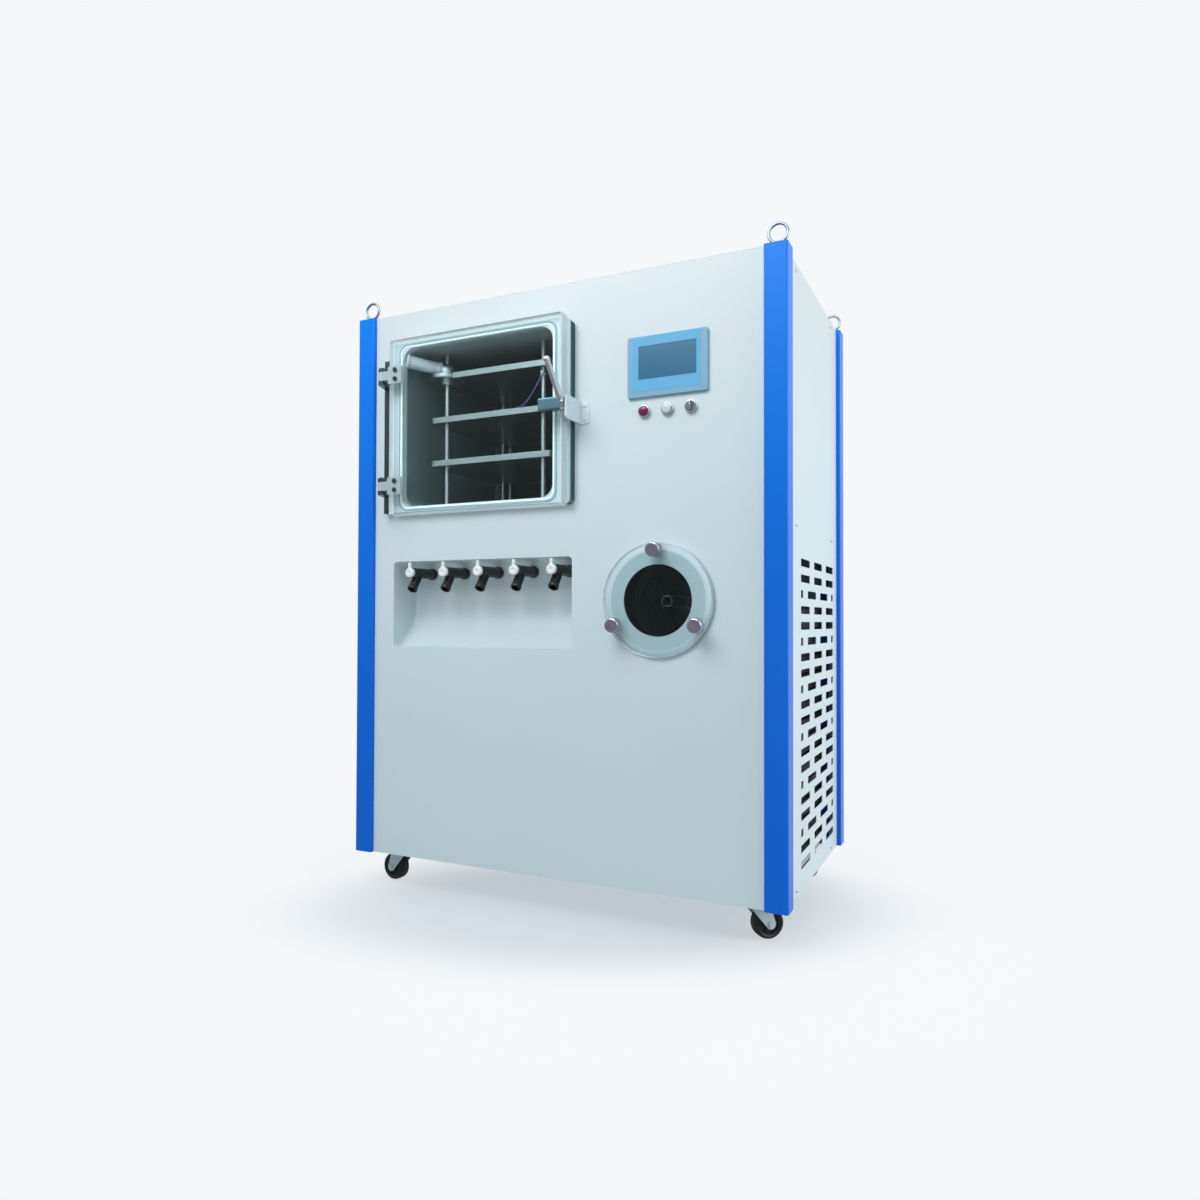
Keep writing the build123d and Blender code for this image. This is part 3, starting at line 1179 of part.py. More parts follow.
def valve_body(x):
    """Moulded rubber valve body: it grips the header stub and has a slanting sample port."""
    back = RECESS_BACK_Y - SEAL_GAP
    body = rod_y(x, VALVE_Z, VALVE_BODY_R, VALVE_FRONT_Y, back)
    body = fillet(body.edges().group_by(Axis.Y)[0], VALVE_ROUND)
    collar = rod_y(x, VALVE_Z, VALVE_COLLAR_R, back - VALVE_COLLAR_L, back)
    collar = fillet(collar.edges().filter_by(GeomType.CIRCLE), VALVE_COLLAR_ROUND)
    direction, end_y, end_z = branch_frame()
    branch = rod((x, BRANCH_ROOT_Y, VALVE_Z), (x, end_y, end_z), BRANCH_R)
    bead_start = (x, end_y - direction[1] * BEAD_L, end_z - direction[2] * BEAD_L)
    bead = rod(bead_start, (x, end_y, end_z), BRANCH_R + BEAD_PROUD)
    body = body + collar + branch + bead
    port_start = (x, end_y - direction[1] * PORT_DEPTH, end_z - direction[2] * PORT_DEPTH)
    port_end = (x, end_y + direction[1] * 2, end_z + direction[2] * 2)
    body -= rod(port_start, port_end, PORT_R)
    stub_y0 = RECESS_BACK_Y - STUB_GRIP
    body -= rod_y(x, VALVE_Z, STUB_R + FIT_GAP / 2, stub_y0 - 1, back + 1)
    stem_end = VALVE_FRONT_Y + KNOB_STEM_L
    return body - rod_y(x, VALVE_Z, KNOB_STEM_R + RUNNING, VALVE_FRONT_Y - 1, stem_end + 1)


def valve_knob(x):
    """White knob with its pointer tab and the stem that turns in the valve body."""
    y1 = VALVE_FRONT_Y - SEAL_GAP
    y0 = y1 - KNOB_T
    outline = make_hull(
        [*Circle(KNOB_DISC_R).edges(), *(Pos(0, KNOB_TAB - KNOB_TAB_W / 2) * Circle(KNOB_TAB_W / 2)).edges()]
    )
    tab = slab_y(outline, x, VALVE_Z, y0 + KNOB_TAB_SUNK, y1 - KNOB_TAB_SUNK)
    disc = rod_y(x, VALVE_Z, KNOB_DISC_R, y0, y1)
    disc = fillet(disc.edges().group_by(Axis.Y)[0], KNOB_ROUND)
    stem = rod_y(x, VALVE_Z, KNOB_STEM_R, y1 - 1, VALVE_FRONT_Y + KNOB_STEM_L)
    return disc + tab + stem


# ================================================================ cold trap
def stud_places():
    places = []
    for degrees in STUD_DEGS:
        angle = math.radians(degrees)
        places.append((TRAP_X + STUD_CIRCLE_R * math.cos(angle), TRAP_Z + STUD_CIRCLE_R * math.sin(angle)))
    return places


def trap_vessel():
    """Welded cold-trap vessel with its mouth ring, three studs and pipe holes."""
    vessel = rod_y(TRAP_X, TRAP_Z, TRAP_R, POST_PROUD, TRAP_BACK_Y)
    vessel += rod_y(TRAP_X, TRAP_Z, TRAP_FLANGE_R, TRAP_FACE_Y, POST_PROUD)
    lip_y = TRAP_FACE_Y + TRAP_LIP_T
    vessel -= rod_y(TRAP_X, TRAP_Z, TRAP_R - TRAP_WALL, lip_y, TRAP_BACK_Y - TRAP_WALL)
    vessel -= rod_y(TRAP_X, TRAP_Z, TRAP_MOUTH_R, TRAP_FACE_Y - 1, lip_y + 1)
    vessel -= rod_y(TRAP_X, TRAP_Z, VACUUM_PIPE_R, TRAP_BACK_Y - TRAP_WALL - 1, TRAP_BACK_Y + 1)
    vessel -= rod_x(HEADER_Y, VALVE_Z, HEADER_R - HEADER_WALL, TRAP_X - TRAP_R, TRAP_X - TRAP_CUT_R)
    vessel -= rod_z(TRAP_X, DUCT_Y, DUCT_R - DUCT_WALL, TRAP_Z + TRAP_CUT_R, TRAP_Z + TRAP_R + 1)
    stud_end = WINDOW_FRONT_Y - HAND_NUT_L + STUD_SHORT
    for x, z in stud_places():
        vessel += rod_y(x, z, STUD_R, stud_end, TRAP_FACE_Y + 1)
    return vessel


def trap_window():
    """Clear disc held on the trap's mouth by the three studs."""
    disc = rod_y(TRAP_X, TRAP_Z, TRAP_FLANGE_R, WINDOW_FRONT_Y, WINDOW_BACK_Y)
    disc = chamfer(disc.edges().filter_by(GeomType.CIRCLE), WINDOW_CHAMFER)
    for x, z in stud_places():
        disc -= rod_y(x, z, STUD_R + WINDOW_HOLE_GAP, WINDOW_FRONT_Y - 1, WINDOW_BACK_Y + 1)
    return disc


def window_knob(index):
    """Fluted stainless hand nut."""
    x, z = stud_places()[index]
    y1 = WINDOW_FRONT_Y - SEAL_GAP
    y0 = y1 - HAND_NUT_L
    nut = rod_y(x, z, HAND_NUT_R, y0, y1)
    nut = fillet(nut.edges().group_by(Axis.Y)[0], HAND_NUT_ROUND)
    nut = chamfer(nut.edges().group_by(Axis.Y)[-1], HAND_NUT_CHAMFER)
    for flute in range(HAND_NUT_FLUTES):
        angle = 2 * math.pi * flute / HAND_NUT_FLUTES
        reach = HAND_NUT_R + HAND_NUT_FLUTE_OUT
        fx, fz = x + reach * math.cos(angle), z + reach * math.sin(angle)
        nut -= rod_y(fx, fz, HAND_NUT_FLUTE_R, y0 - 1, y1 + 1)
    bore_end = WINDOW_FRONT_Y - HAND_NUT_L + STUD_SHORT - 1
    return nut - rod_y(x, z, STUD_R + RUNNING, bore_end, y1 + 1)


def trap_coil():
    """Evaporator: tube rings on a header pipe, with two tails out through the vessel's back."""
    last_y = COIL_FIRST_Y + (COIL_TURNS - 1) * COIL_PITCH
    header_y0, header_y1 = COIL_FIRST_Y - COIL_PITCH / 2, last_y + COIL_PITCH / 2
    coil = rod_y(TRAP_X + COIL_RING_R, TRAP_Z, COIL_HEADER_R, header_y0, header_y1)
    for turn in range(COIL_TURNS):
        y = COIL_FIRST_Y + turn * COIL_PITCH
        coil += Pos(TRAP_X, y, TRAP_Z) * Rot(90, 0, 0) * Torus(COIL_RING_R, COIL_TUBE_R)
    for x in (TRAP_X + COIL_RING_R - COIL_TAIL_R / 2, TRAP_X - COIL_RING_R):
        coil += rod_y(x, TRAP_Z, COIL_TAIL_R, last_y, TRAP_BACK_Y - TRAP_WALL)
    return coil


def vacuum_pipe():
    """Straight suction pipe along the trap's axis to the small-flange port behind the cabinet."""
    pipe = rod_y(TRAP_X, TRAP_Z, VACUUM_PIPE_R, VACUUM_FIRST_Y, KF_END_Y)
    flange = rod_y(TRAP_X, TRAP_Z, KF_FLANGE_R, KF_END_Y - KF_FLANGE_T, KF_END_Y)
    cone = Plane(origin=(TRAP_X, KF_END_Y - KF_FLANGE_T - KF_CONE, TRAP_Z), z_dir=(0, 1, 0)) * Cone(
        VACUUM_PIPE_R, KF_FLANGE_R, KF_CONE, align=(Align.CENTER, Align.CENTER, Align.MIN)
    )
    return pipe + flange + cone - rod_y(TRAP_X, TRAP_Z, VACUUM_BORE_R, VACUUM_FIRST_Y - 1, KF_END_Y + 1)


def vapour_duct():
    """Bent duct from the chamber's right wall down into the trap, with its disc valve body."""
    start_x = CHAMBER_X + CHAMBER_W / 2 + CHAMBER_WALL
    end_z = TRAP_Z + DUCT_END_RISE
    corner = (TRAP_X, DUCT_Y, DUCT_Z)
    path = FilletPolyline((start_x, DUCT_Y, DUCT_Z), corner, (TRAP_X, DUCT_Y, end_z), radius=DUCT_BEND)
    section = Plane(origin=(start_x, DUCT_Y, DUCT_Z), z_dir=(1, 0, 0))
    duct = sweep(section * Circle(DUCT_R), path=path)
    bore = sweep(section * Circle(DUCT_R - DUCT_WALL), path=path)
    valve_z = TRAP_Z + TRAP_R + DUCT_VALVE_RISE
    duct += rod_z(TRAP_X, DUCT_Y, DUCT_VALVE_R, valve_z, valve_z + DUCT_VALVE_T)
    actuator_x = TRAP_X + DUCT_VALVE_R + DUCT_ACTUATOR_L
    duct += rod_x(DUCT_Y, valve_z + DUCT_VALVE_T / 2, DUCT_ACTUATOR_R, TRAP_X, actuator_x)
    duct -= bore
    return duct - rod_y(TRAP_X, TRAP_Z, TRAP_R, POST_PROUD, TRAP_BACK_Y)


# ================================================================ controls
def touch_panel():
    """Touch panel: bezel with a sunk display window, rear housing, and the display glass."""
    y0 = POST_PROUD - HMI_PROUD
    bezel = slab_y(RectangleRounded(HMI_W, HMI_H, HMI_RADIUS), HMI_X, HMI_Z, y0, POST_PROUD)
    bezel = fillet(bezel.faces().sort_by(Axis.Y)[0].outer_wire().edges(), HMI_ROUND)
    housing = RectangleRounded(HMI_BODY_W, HMI_BODY_H, HMI_RADIUS)
    body = slab_y(housing, HMI_X, HMI_Z, POST_PROUD - 1, POST_PROUD + HMI_BODY_D)
    screen_x, screen_z = HMI_X + SCREEN_SHIFT_X, HMI_Z + SCREEN_SHIFT_Z
    glass_y0 = y0 + SCREEN_SUNK
    glass_y1 = glass_y0 + SCREEN_T
    window = slab_y(Rectangle(SCREEN_W, SCREEN_H), screen_x, screen_z, y0 - 1, glass_y1)
    pane = Rectangle(SCREEN_W - FIT_GAP, SCREEN_H - FIT_GAP)
    glass = slab_y(pane, screen_x, screen_z, glass_y0, glass_y1)
    return group([bezel + body - window, glass])


def switch_body(x):
    """Round bezel with its barrel behind the panel, cupped and bored for the cap."""
    bezel_y0 = POST_PROUD - BEZEL_T
    body = rod_y(x, SWITCH_Z, BEZEL_R, bezel_y0, POST_PROUD)
    body = fillet(body.edges().group_by(Axis.Y)[0], BEZEL_ROUND)
    body += rod_y(x, SWITCH_Z, BARREL_R, POST_PROUD - 1, POST_PROUD + BARREL_L)
    cup_floor = bezel_y0 + CAP_T
    body -= rod_y(x, SWITCH_Z, CAP_R + FIT_GAP, bezel_y0 - 1, cup_floor)
    return body - rod_y(x, SWITCH_Z, CAP_STEM_R + RUNNING, cup_floor - 1, cup_floor + CAP_STEM_L)


def push_cap(x):
    """Round push cap with its stem; it stands clear of the cup floor by its travel."""
    cup_floor = POST_PROUD - BEZEL_T + CAP_T
    y1 = cup_floor - PRESS_TRAVEL - FIT_GAP
    y0 = y1 - CAP_T
    cap = rod_y(x, SWITCH_Z, CAP_R, y0, y1)
    cap = fillet(cap.edges().group_by(Axis.Y)[0], CAP_ROUND)
    stem_end = cup_floor + CAP_STEM_L - PRESS_TRAVEL - CAP_STEM_SHORT
    return cap + rod_y(x, SWITCH_Z, CAP_STEM_R, y1 - 1, stem_end)


def key_switch():
    """Rotary selector core with a finger bar."""
    x = SWITCH_XS[2]
    cup_floor = POST_PROUD - BEZEL_T + CAP_T
    y1 = cup_floor - FIT_GAP
    y0 = y1 - CAP_T
    core = rod_y(x, SWITCH_Z, CAP_R, y0, y1)
    core = fillet(core.edges().group_by(Axis.Y)[0], SELECTOR_ROUND)
    outline = RectangleRounded(SELECTOR_BAR_W, SELECTOR_BAR_H, SELECTOR_BAR_RADIUS)
    bar = slab_y(outline, x, SWITCH_Z, y0 - SELECTOR_BAR_OUT, y0 + 1)
    bar = fillet(bar.faces().sort_by(Axis.Y)[0].edges(), SELECTOR_ROUND)
    stem = rod_y(x, SWITCH_Z, CAP_STEM_R, y1 - 1, cup_floor + CAP_STEM_L - CAP_STEM_SHORT)
    return core + bar + stem


# ================================================================ machinery
def compressor():
    """Hermetic compressor can on its foot plate, with its terminal box and pipe stubs."""
    x, y = TRAP_X - COMPRESSOR_LEFT, COMPRESSOR_Y
    foot_z = PAN_TOP_Z + COMPRESSOR_FOOT_H
    can_z0 = foot_z + COMPRESSOR_FOOT_T
    can_z1 = can_z0 + COMPRESSOR_H
    foot = RectangleRounded(COMPRESSOR_FOOT_W, COMPRESSOR_FOOT_W, COMPRESSOR_FOOT_R)
    made = slab_z(foot, x, y, foot_z, can_z0)
    can = rod_z(x, y, COMPRESSOR_R, can_z0, can_z1)
    made += fillet(can.edges().group_by(Axis.Z)[-1], COMPRESSOR_DOME_R)
    foot_reach = COMPRESSOR_FOOT_W / 2 - COMPRESSOR_FOOT_R
    for sx in (-1, 1):
        for sy in (-1, 1):
            bush_x, bush_y = x + sx * foot_reach, y + sy * foot_reach
            made += rod_z(bush_x, bush_y, COMPRESSOR_BUSH_R, PAN_TOP_Z, foot_z + COMPRESSOR_FOOT_T)
    box_y0 = y - COMPRESSOR_R - TERMINAL_BOX_OUT
    box_z0 = can_z0 + COMPRESSOR_H / 3
    made += block(x - TERMINAL_BOX_W / 2, x + TERMINAL_BOX_W / 2, box_y0, y, box_z0, box_z0 + TERMINAL_BOX_H)
    for stub_x, stub_r in ((x - STUB_SPREAD, LIQUID_STUB_R), (x + STUB_SPREAD, SUCTION_STUB_R)):
        made += rod_z(stub_x, y, stub_r, can_z1 - COMPRESSOR_DOME_R, can_z1 + STUB_RISE)
    return made


def radiator():
    """Air-cooled condenser coil: a finned block between two end sheets, on the pan."""
    x1 = RADIATOR_OUT_X
    x0 = x1 - RADIATOR_T
    y0, y1 = RADIATOR_Y - RADIATOR_W / 2, RADIATOR_Y + RADIATOR_W / 2
    z0, z1 = PAN_TOP_Z, PAN_TOP_Z + RADIATOR_H
    core = block(x0, x1, y0, y1, z0, z1)
    fin_y0, fin_y1 = y0 + RADIATOR_END, y1 - RADIATOR_END
    pitch = (RADIATOR_H - 2 * RADIATOR_END) / RADIATOR_FINS
    grooves = []
    for fin in range(RADIATOR_FINS):
        low = z0 + RADIATOR_END + pitch * (fin + 0.5) - RADIATOR_GROOVE / 2
        high = low + RADIATOR_GROOVE
        grooves.append(block(x1 - RADIATOR_FIN_DEPTH, x1 + 1, fin_y0, fin_y1, low, high))
        grooves.append(block(x0 - 1, x0 + RADIATOR_FIN_DEPTH, fin_y0, fin_y1, low, high))
    return core - grooves


def fan_shroud():
    """Shroud on the coil's inner side, with the fan motor on its bracket and shaft."""
    x1 = RADIATOR_OUT_X - RADIATOR_T
    x0 = x1 - SHROUD_T
    y0, y1 = RADIATOR_Y - RADIATOR_W / 2, RADIATOR_Y + RADIATOR_W / 2
    z0, z1 = PAN_TOP_Z, PAN_TOP_Z + RADIATOR_H
    wall = SHROUD_SHEET
    shroud = block(x0, x1, y0, y1, z0, z1)
    shroud -= block(x0 + wall, x1 + 1, y0 + wall, y1 - wall, z0 + wall, z1 - wall)
    shroud -= rod_x(RADIATOR_Y, FAN_Z, FAN_R + FAN_TIP_GAP, x0 - 1, x0 + wall + 1)
    motor_x1 = x0 - MOTOR_GAP
    shroud += rod_x(RADIATOR_Y, FAN_Z, MOTOR_R, motor_x1 - MOTOR_L, motor_x1)
    shroud += rod_x(RADIATOR_Y, FAN_Z, FAN_SHAFT_R, motor_x1 - 1, x0 + FAN_HUB_T / 2)
    reach = FAN_R + FAN_TIP_GAP + FAN_RING
    bar_x0 = motor_x1 - MOTOR_L / 2 - MOTOR_BAR_T / 2
    bar_y0, bar_y1 = RADIATOR_Y - reach, RADIATOR_Y + reach
    for sign in (-1, 1):
        bar_z0 = FAN_Z + sign * MOTOR_BAR_RISE - MOTOR_BAR / 2
        bar_z1 = bar_z0 + MOTOR_BAR
        shroud += block(bar_x0, bar_x0 + MOTOR_BAR_T, bar_y0, bar_y1, bar_z0, bar_z1)
        for y in (bar_y0, bar_y1 - MOTOR_BAR_T):
            shroud += block(bar_x0, x0 + wall, y, y + MOTOR_BAR_T, bar_z0, bar_z1)
    return shroud


def fan_rotor():
    """Axial fan: hub and pitched blades."""
    x0 = RADIATOR_OUT_X - RADIATOR_T - SHROUD_T
    rotor = rod_x(RADIATOR_Y, FAN_Z, FAN_HUB_R, x0 - FAN_HUB_T / 2, x0 + FAN_HUB_T / 2)
    root = FAN_HUB_R - FAN_BLADE_T * 3
    blade_length = FAN_R - root
    blade = Pos(0, 0, root + blade_length / 2) * Rot(0, 0, FAN_PITCH_DEG)
    blade *= Box(FAN_BLADE_T, FAN_BLADE_CHORD, blade_length)
    for index in range(FAN_BLADES):
        rotor += Pos(x0, RADIATOR_Y, FAN_Z) * Rot(360.0 / FAN_BLADES * index, 0, 0) * blade
    bore = rod_x(RADIATOR_Y, FAN_Z, FAN_SHAFT_R + RUNNING, x0 - FAN_HUB_T, x0 + FAN_HUB_T)
    return rotor - bore


def oil_bath():
    """Heated silicone-oil tank under its lid, with the circulation pump on the lid."""
    x0 = riser_xs()[0] - BATH_END
    x1 = riser_xs()[1] + BATH_END
    y0, y1 = RISER_Y - BATH_D / 2, RISER_Y + BATH_D / 2
    z0 = PAN_TOP_Z
    lid_z = z0 + BATH_H - BATH_LID_T
    tank = fillet(edges_along(block(x0, x1, y0, y1, z0, lid_z), Axis.Z), BATH_RADIUS)
    hollow = block(x0 + BATH_WALL, x1 - BATH_WALL, y0 + BATH_WALL, y1 - BATH_WALL, z0 + BATH_WALL, lid_z + 1)
    tank -= fillet(edges_along(hollow, Axis.Z), BATH_RADIUS - BATH_WALL)
    lid = block(x0 - BATH_LIP, x1 + BATH_LIP, y0 - BATH_LIP, y1 + BATH_LIP, lid_z, z0 + BATH_H)
    pump_x = (x0 + x1) / 2
    pump = rod_z(pump_x, y0 + PUMP_R * 2, PUMP_R, lid_z, z0 + BATH_H + PUMP_L)
    pump = fillet(pump.edges().group_by(Axis.Z)[-1], PUMP_ROUND)
    return group([tank, lid + pump])


def electrical_box():
    """Switchgear box on the equipment frame, open in front behind its own door."""
    x0, x1 = HMI_X - BOX_W / 2, HMI_X + BOX_W / 2
    y1 = DEPTH - RAIL_REAR
    y0 = y1 - BOX_D
    z0, z1 = FRAME_TOP_Z, FRAME_TOP_Z + BOX_H
    body = block(x0, x1, y0, y1, z0, z1)
    body -= block(x0 + BOX_WALL, x1 - BOX_WALL, y0 - 1, y1 - BOX_WALL, z0 + BOX_WALL, z1 - BOX_WALL)
    cover = block(x0, x1, y0 - BOX_WALL, y0, z0, z1)
    return group([body, cover])


def cable_gland():
    """Mains cable gland in the rear panel: thread, lock nut, hexagon and domed cap."""
    y = REAR_FACE_Y
    hexagon = RegularPolygon(GLAND_HEX, 6)
    gland = rod_y(GLAND_X, GLAND_Z, GLAND_THREAD_R, y - GLAND_TAIL, y + GLAND_HEX_T)
    gland += slab_y(hexagon, GLAND_X, GLAND_Z, y, y + GLAND_HEX_T)
    gland += slab_y(hexagon, GLAND_X, GLAND_Z, y - SHEET - GLAND_HEX_T, y - SHEET)
    dome = rod_y(GLAND_X, GLAND_Z, GLAND_THREAD_R, y + GLAND_HEX_T - 1, y + GLAND_NOSE)
    gland += fillet(dome.edges().group_by(Axis.Y)[-1], GLAND_THREAD_R - GLAND_BORE_R - GLAND_LIP)
    return gland - rod_y(GLAND_X, GLAND_Z, GLAND_BORE_R, y - GLAND_TAIL - 1, y + GLAND_NOSE + 1)


# ================================================================ all pieces
def pieces():
    made = {
        "base_pan": base_pan(),
        "front_panel": front_panel(),
        "left_side_panel": side_panel(-1),
        "right_side_panel": side_panel(1),
        "rear_panel": rear_panel(),
        "top_panel": top_panel(),
        "corner_posts": group([corner_post(side, rear) for side in (-1, 1) for rear in (False, True)]),
        "lifting_eyes": group([lifting_eye(side, rear) for side in (-1, 1) for rear in (False, True)]),
        "panel_screws": panel_screws(),
        "equipment_frame": equipment_frame(),
        "caster_plates": group([caster_plate(side, rear) for side, rear, _ in CASTERS.values()]),
        "manifold_recess": manifold_recess(),
        "manifold_header": manifold_header(),
        "valve_bodies": group([valve_body(x) for x in VALVE_XS]),
        "chamber_shell": chamber_shell(),
        "door_gasket": door_gasket(),
        "shelves": shelves(),
        "shelf_rods": shelf_rods(),
        "oil_risers": oil_risers(),
        "probe_lead": probe_lead(),
        "probe_fittings": probe_fittings(),
        "trap_vessel": trap_vessel(),
        "trap_coil": trap_coil(),
        "trap_window": trap_window(),
        "vapour_duct": vapour_duct(),
        "vacuum_pipe": vacuum_pipe(),
        "compressor": compressor(),
        "radiator": radiator(),
        "fan_shroud": fan_shroud(),
        "oil_bath": oil_bath(),
        "electrical_box": electrical_box(),
        "touch_panel": touch_panel(),
        "switch_bodies": group([switch_body(x) for x in SWITCH_XS]),
        "hinge_bracket": hinge_bracket(),
        "latch_strike": latch_strike(),
        "cable_gland": cable_gland(),
        "door_plate": door_plate(),
        "door_hinge_leaves": door_hinge_leaves(),
        "latch_block": latch_block(),
        "latch_lever": latch_lever(),
        "fan_rotor": fan_rotor(),
        "red_button": push_cap(SWITCH_XS[0]),
        "green_button": push_cap(SWITCH_XS[1]),
        "key_switch": key_switch(),
    }
    for index, x in enumerate(VALVE_XS):
        made[f"valve_knob_{index + 1}"] = valve_knob(x)
    for index in range(len(STUD_DEGS)):
        made[f"window_knob_{index + 1}"] = window_knob(index)
    for name, (side, rear, heading) in CASTERS.items():
        made[f"caster_fork_{name}"] = caster_fork(side, rear, heading)
        made[f"caster_wheel_{name}"] = caster_wheel(side, rear, heading)
    return made


def main():
    os.makedirs("parts", exist_ok=True)
    print("probe lead arc radii:", [round(r, 1) for r in route_radii(probe_route())])
    for name, shape in pieces().items():
        export_step(Pos(0, -Y_MIDDLE, 0) * shape, f"parts/{name}.step")


if __name__ == "__main__":
    main()
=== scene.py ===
# %% [markdown]
# # A pilot freeze dryer on casters
#
# The machine is a white sheet-steel cabinet between four bright blue corner posts.  It has a
# stainless product chamber behind a thick clear door, five rubber sample valves in a white recess,
# and a cold trap behind a clear disc.  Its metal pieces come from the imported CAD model.  This
# lesson gives each of them a finish, and makes by hand the pieces that are soft, turned or moulded.
# Everything is in metres, in the model's own frame: X to the right, Y into the depth, Z up.

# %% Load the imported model
import json
import math

import bmesh
import bpy
from mathutils import Matrix, Vector

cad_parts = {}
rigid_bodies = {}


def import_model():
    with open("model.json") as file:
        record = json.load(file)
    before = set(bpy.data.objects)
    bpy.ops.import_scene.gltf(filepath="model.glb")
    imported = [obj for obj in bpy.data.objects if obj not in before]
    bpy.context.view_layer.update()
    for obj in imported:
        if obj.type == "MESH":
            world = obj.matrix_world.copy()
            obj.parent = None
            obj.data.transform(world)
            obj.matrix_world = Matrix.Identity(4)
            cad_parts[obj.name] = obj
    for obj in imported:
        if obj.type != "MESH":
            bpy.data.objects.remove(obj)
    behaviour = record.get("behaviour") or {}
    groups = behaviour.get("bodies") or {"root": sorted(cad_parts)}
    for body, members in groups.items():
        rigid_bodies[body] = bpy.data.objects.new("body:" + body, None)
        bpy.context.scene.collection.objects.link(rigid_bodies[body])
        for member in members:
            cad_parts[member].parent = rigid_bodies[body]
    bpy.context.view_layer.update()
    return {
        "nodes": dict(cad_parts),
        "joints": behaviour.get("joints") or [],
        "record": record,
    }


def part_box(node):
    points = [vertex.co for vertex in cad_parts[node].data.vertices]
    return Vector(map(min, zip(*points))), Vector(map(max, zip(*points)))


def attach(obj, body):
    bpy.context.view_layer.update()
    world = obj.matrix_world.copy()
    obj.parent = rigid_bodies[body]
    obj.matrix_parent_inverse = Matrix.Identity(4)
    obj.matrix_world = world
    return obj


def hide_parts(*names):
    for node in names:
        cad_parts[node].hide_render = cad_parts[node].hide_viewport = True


for leftover in list(bpy.data.objects):
    bpy.data.objects.remove(leftover)

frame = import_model()
MM = 0.001

# %% [markdown]
# ## The viewpoint
#
# The camera stands in front of the machine's right-hand corner, a little below half its height,
# and looks almost level.  Verticals then stay nearly upright and the floor shows as a narrow band.
# A short lens close to the machine gives the strong perspective of a catalogue picture, and a small
# shift centres it without tilting anything.  The three angles are in radians.

# %% Camera
CAMERA_PLACE = (1.0441, -2.2500, 0.7428)
CAMERA_YAW = 0.4616
CAMERA_PITCH = 0.0166
CAMERA_ROLL = 0.0032
FOCAL_LENGTH_MM, SENSOR_MM = 26.244, 36.0
SHIFT_RIGHT, SHIFT_UP = 0.0222, 0.0053

lens = bpy.data.cameras.new("viewpoint")
lens.lens = FOCAL_LENGTH_MM
lens.sensor_width = SENSOR_MM
lens.shift_x = SHIFT_RIGHT
lens.shift_y = SHIFT_UP
camera = bpy.data.objects.new("viewpoint", lens)
turn = Matrix.Rotation(CAMERA_YAW, 4, "Z") @ Matrix.Rotation(math.pi / 2 + CAMERA_PITCH, 4, "X")
camera.matrix_world = Matrix.Translation(CAMERA_PLACE) @ turn @ Matrix.Rotation(CAMERA_ROLL, 4, "Z")
bpy.context.scene.collection.objects.link(camera)
bpy.context.scene.camera = camera
print("camera", [round(v, 3) for v in camera.location], "lens", lens.lens)

# %% [markdown]
# ## The product probe's lead
#
# A thin purple lead hangs from a spring clip on the front right guide rod and ends in a metal tip
# that lies on the middle shelf.  A cord is best drawn as one smooth spline, because a real sheath
# has no corners.  Its control points are the route's own points, and a round bevel gives it body.
# The bevel is one metre deep and each point's radius scales it down, because Blender reckons a
# curve's bounding box from those radii.

# %% Lead
LEAD_ROUTE = [
    (-0.0475, -0.2332, 1.3850),
    (-0.0575, -0.2342, 1.3660),
    (-0.0695, -0.2347, 1.3480),
    (-0.0835, -0.2342, 1.3280),
    (-0.1005, -0.2332, 1.3130),
    (-0.1235, -0.2312, 1.3070),
    (-0.1475, -0.2282, 1.3066),
]
LEAD_DIAMETER = 0.0032

lead_curve = bpy.data.curves.new("probe_sheath", "CURVE")
lead_curve.dimensions = "3D"
lead_curve.bevel_depth = 1.0
lead_curve.bevel_resolution = 5
lead_curve.resolution_u = 10
lead_curve.use_fill_caps = True
spline = lead_curve.splines.new("NURBS")
spline.points.add(len(LEAD_ROUTE) - 1)
for control, place in zip(spline.points, LEAD_ROUTE):
    control.co = (*place, 1.0)
    control.radius = LEAD_DIAMETER / 2
spline.order_u = 3
spline.use_endpoint_u = True
probe_sheath = bpy.data.objects.new("probe_sheath", lead_curve)
bpy.context.scene.collection.objects.link(probe_sheath)
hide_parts("probe_lead")
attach(probe_sheath, "cabinet")
print("lead route points:", len(LEAD_ROUTE))

# %% [markdown]
# ## Tools for finishes
#
# Colours are chosen as sRGB hex values, as on a screen, while shader sockets want linear light.
# One function turns one into the other.  Every pattern has a size in millimetres, and texture
# nodes want repeats per metre, so a second one turns that round.  A third one adds a node with its
# values and its links in a single line.  The rest are the few steps that every finish is made of:
# clouds of noise, a ramp from one range to another, a mix of two tones, and a relief.

# %% Colour, scale and node helpers
def to_linear(hex_colour):
    """An sRGB hex colour as linear RGBA."""
    shares = [int(hex_colour[i : i + 2], 16) / 255 for i in (1, 3, 5)]
    lit = [s / 12.92 if s <= 0.04045 else ((s + 0.055) / 1.055) ** 2.4 for s in shares]
    return (*lit, 1.0)


def per_metre(size_mm):
    """Texture scale at which one feature is size_mm across."""
    return 1.0 / (size_mm * MM)


def add_node(tree, kind, values=None, links=None):
    """One node: values set its sockets or options, links join its sockets to outputs."""
    made = tree.nodes.new(kind)
    for key, value in (values or {}).items():
        if isinstance(key, int) or key in made.inputs:
            made.inputs[key].default_value = value
        else:
            setattr(made, key, value)
    for key, output in (links or {}).items():
        tree.links.new(output, made.inputs[key])
    return made


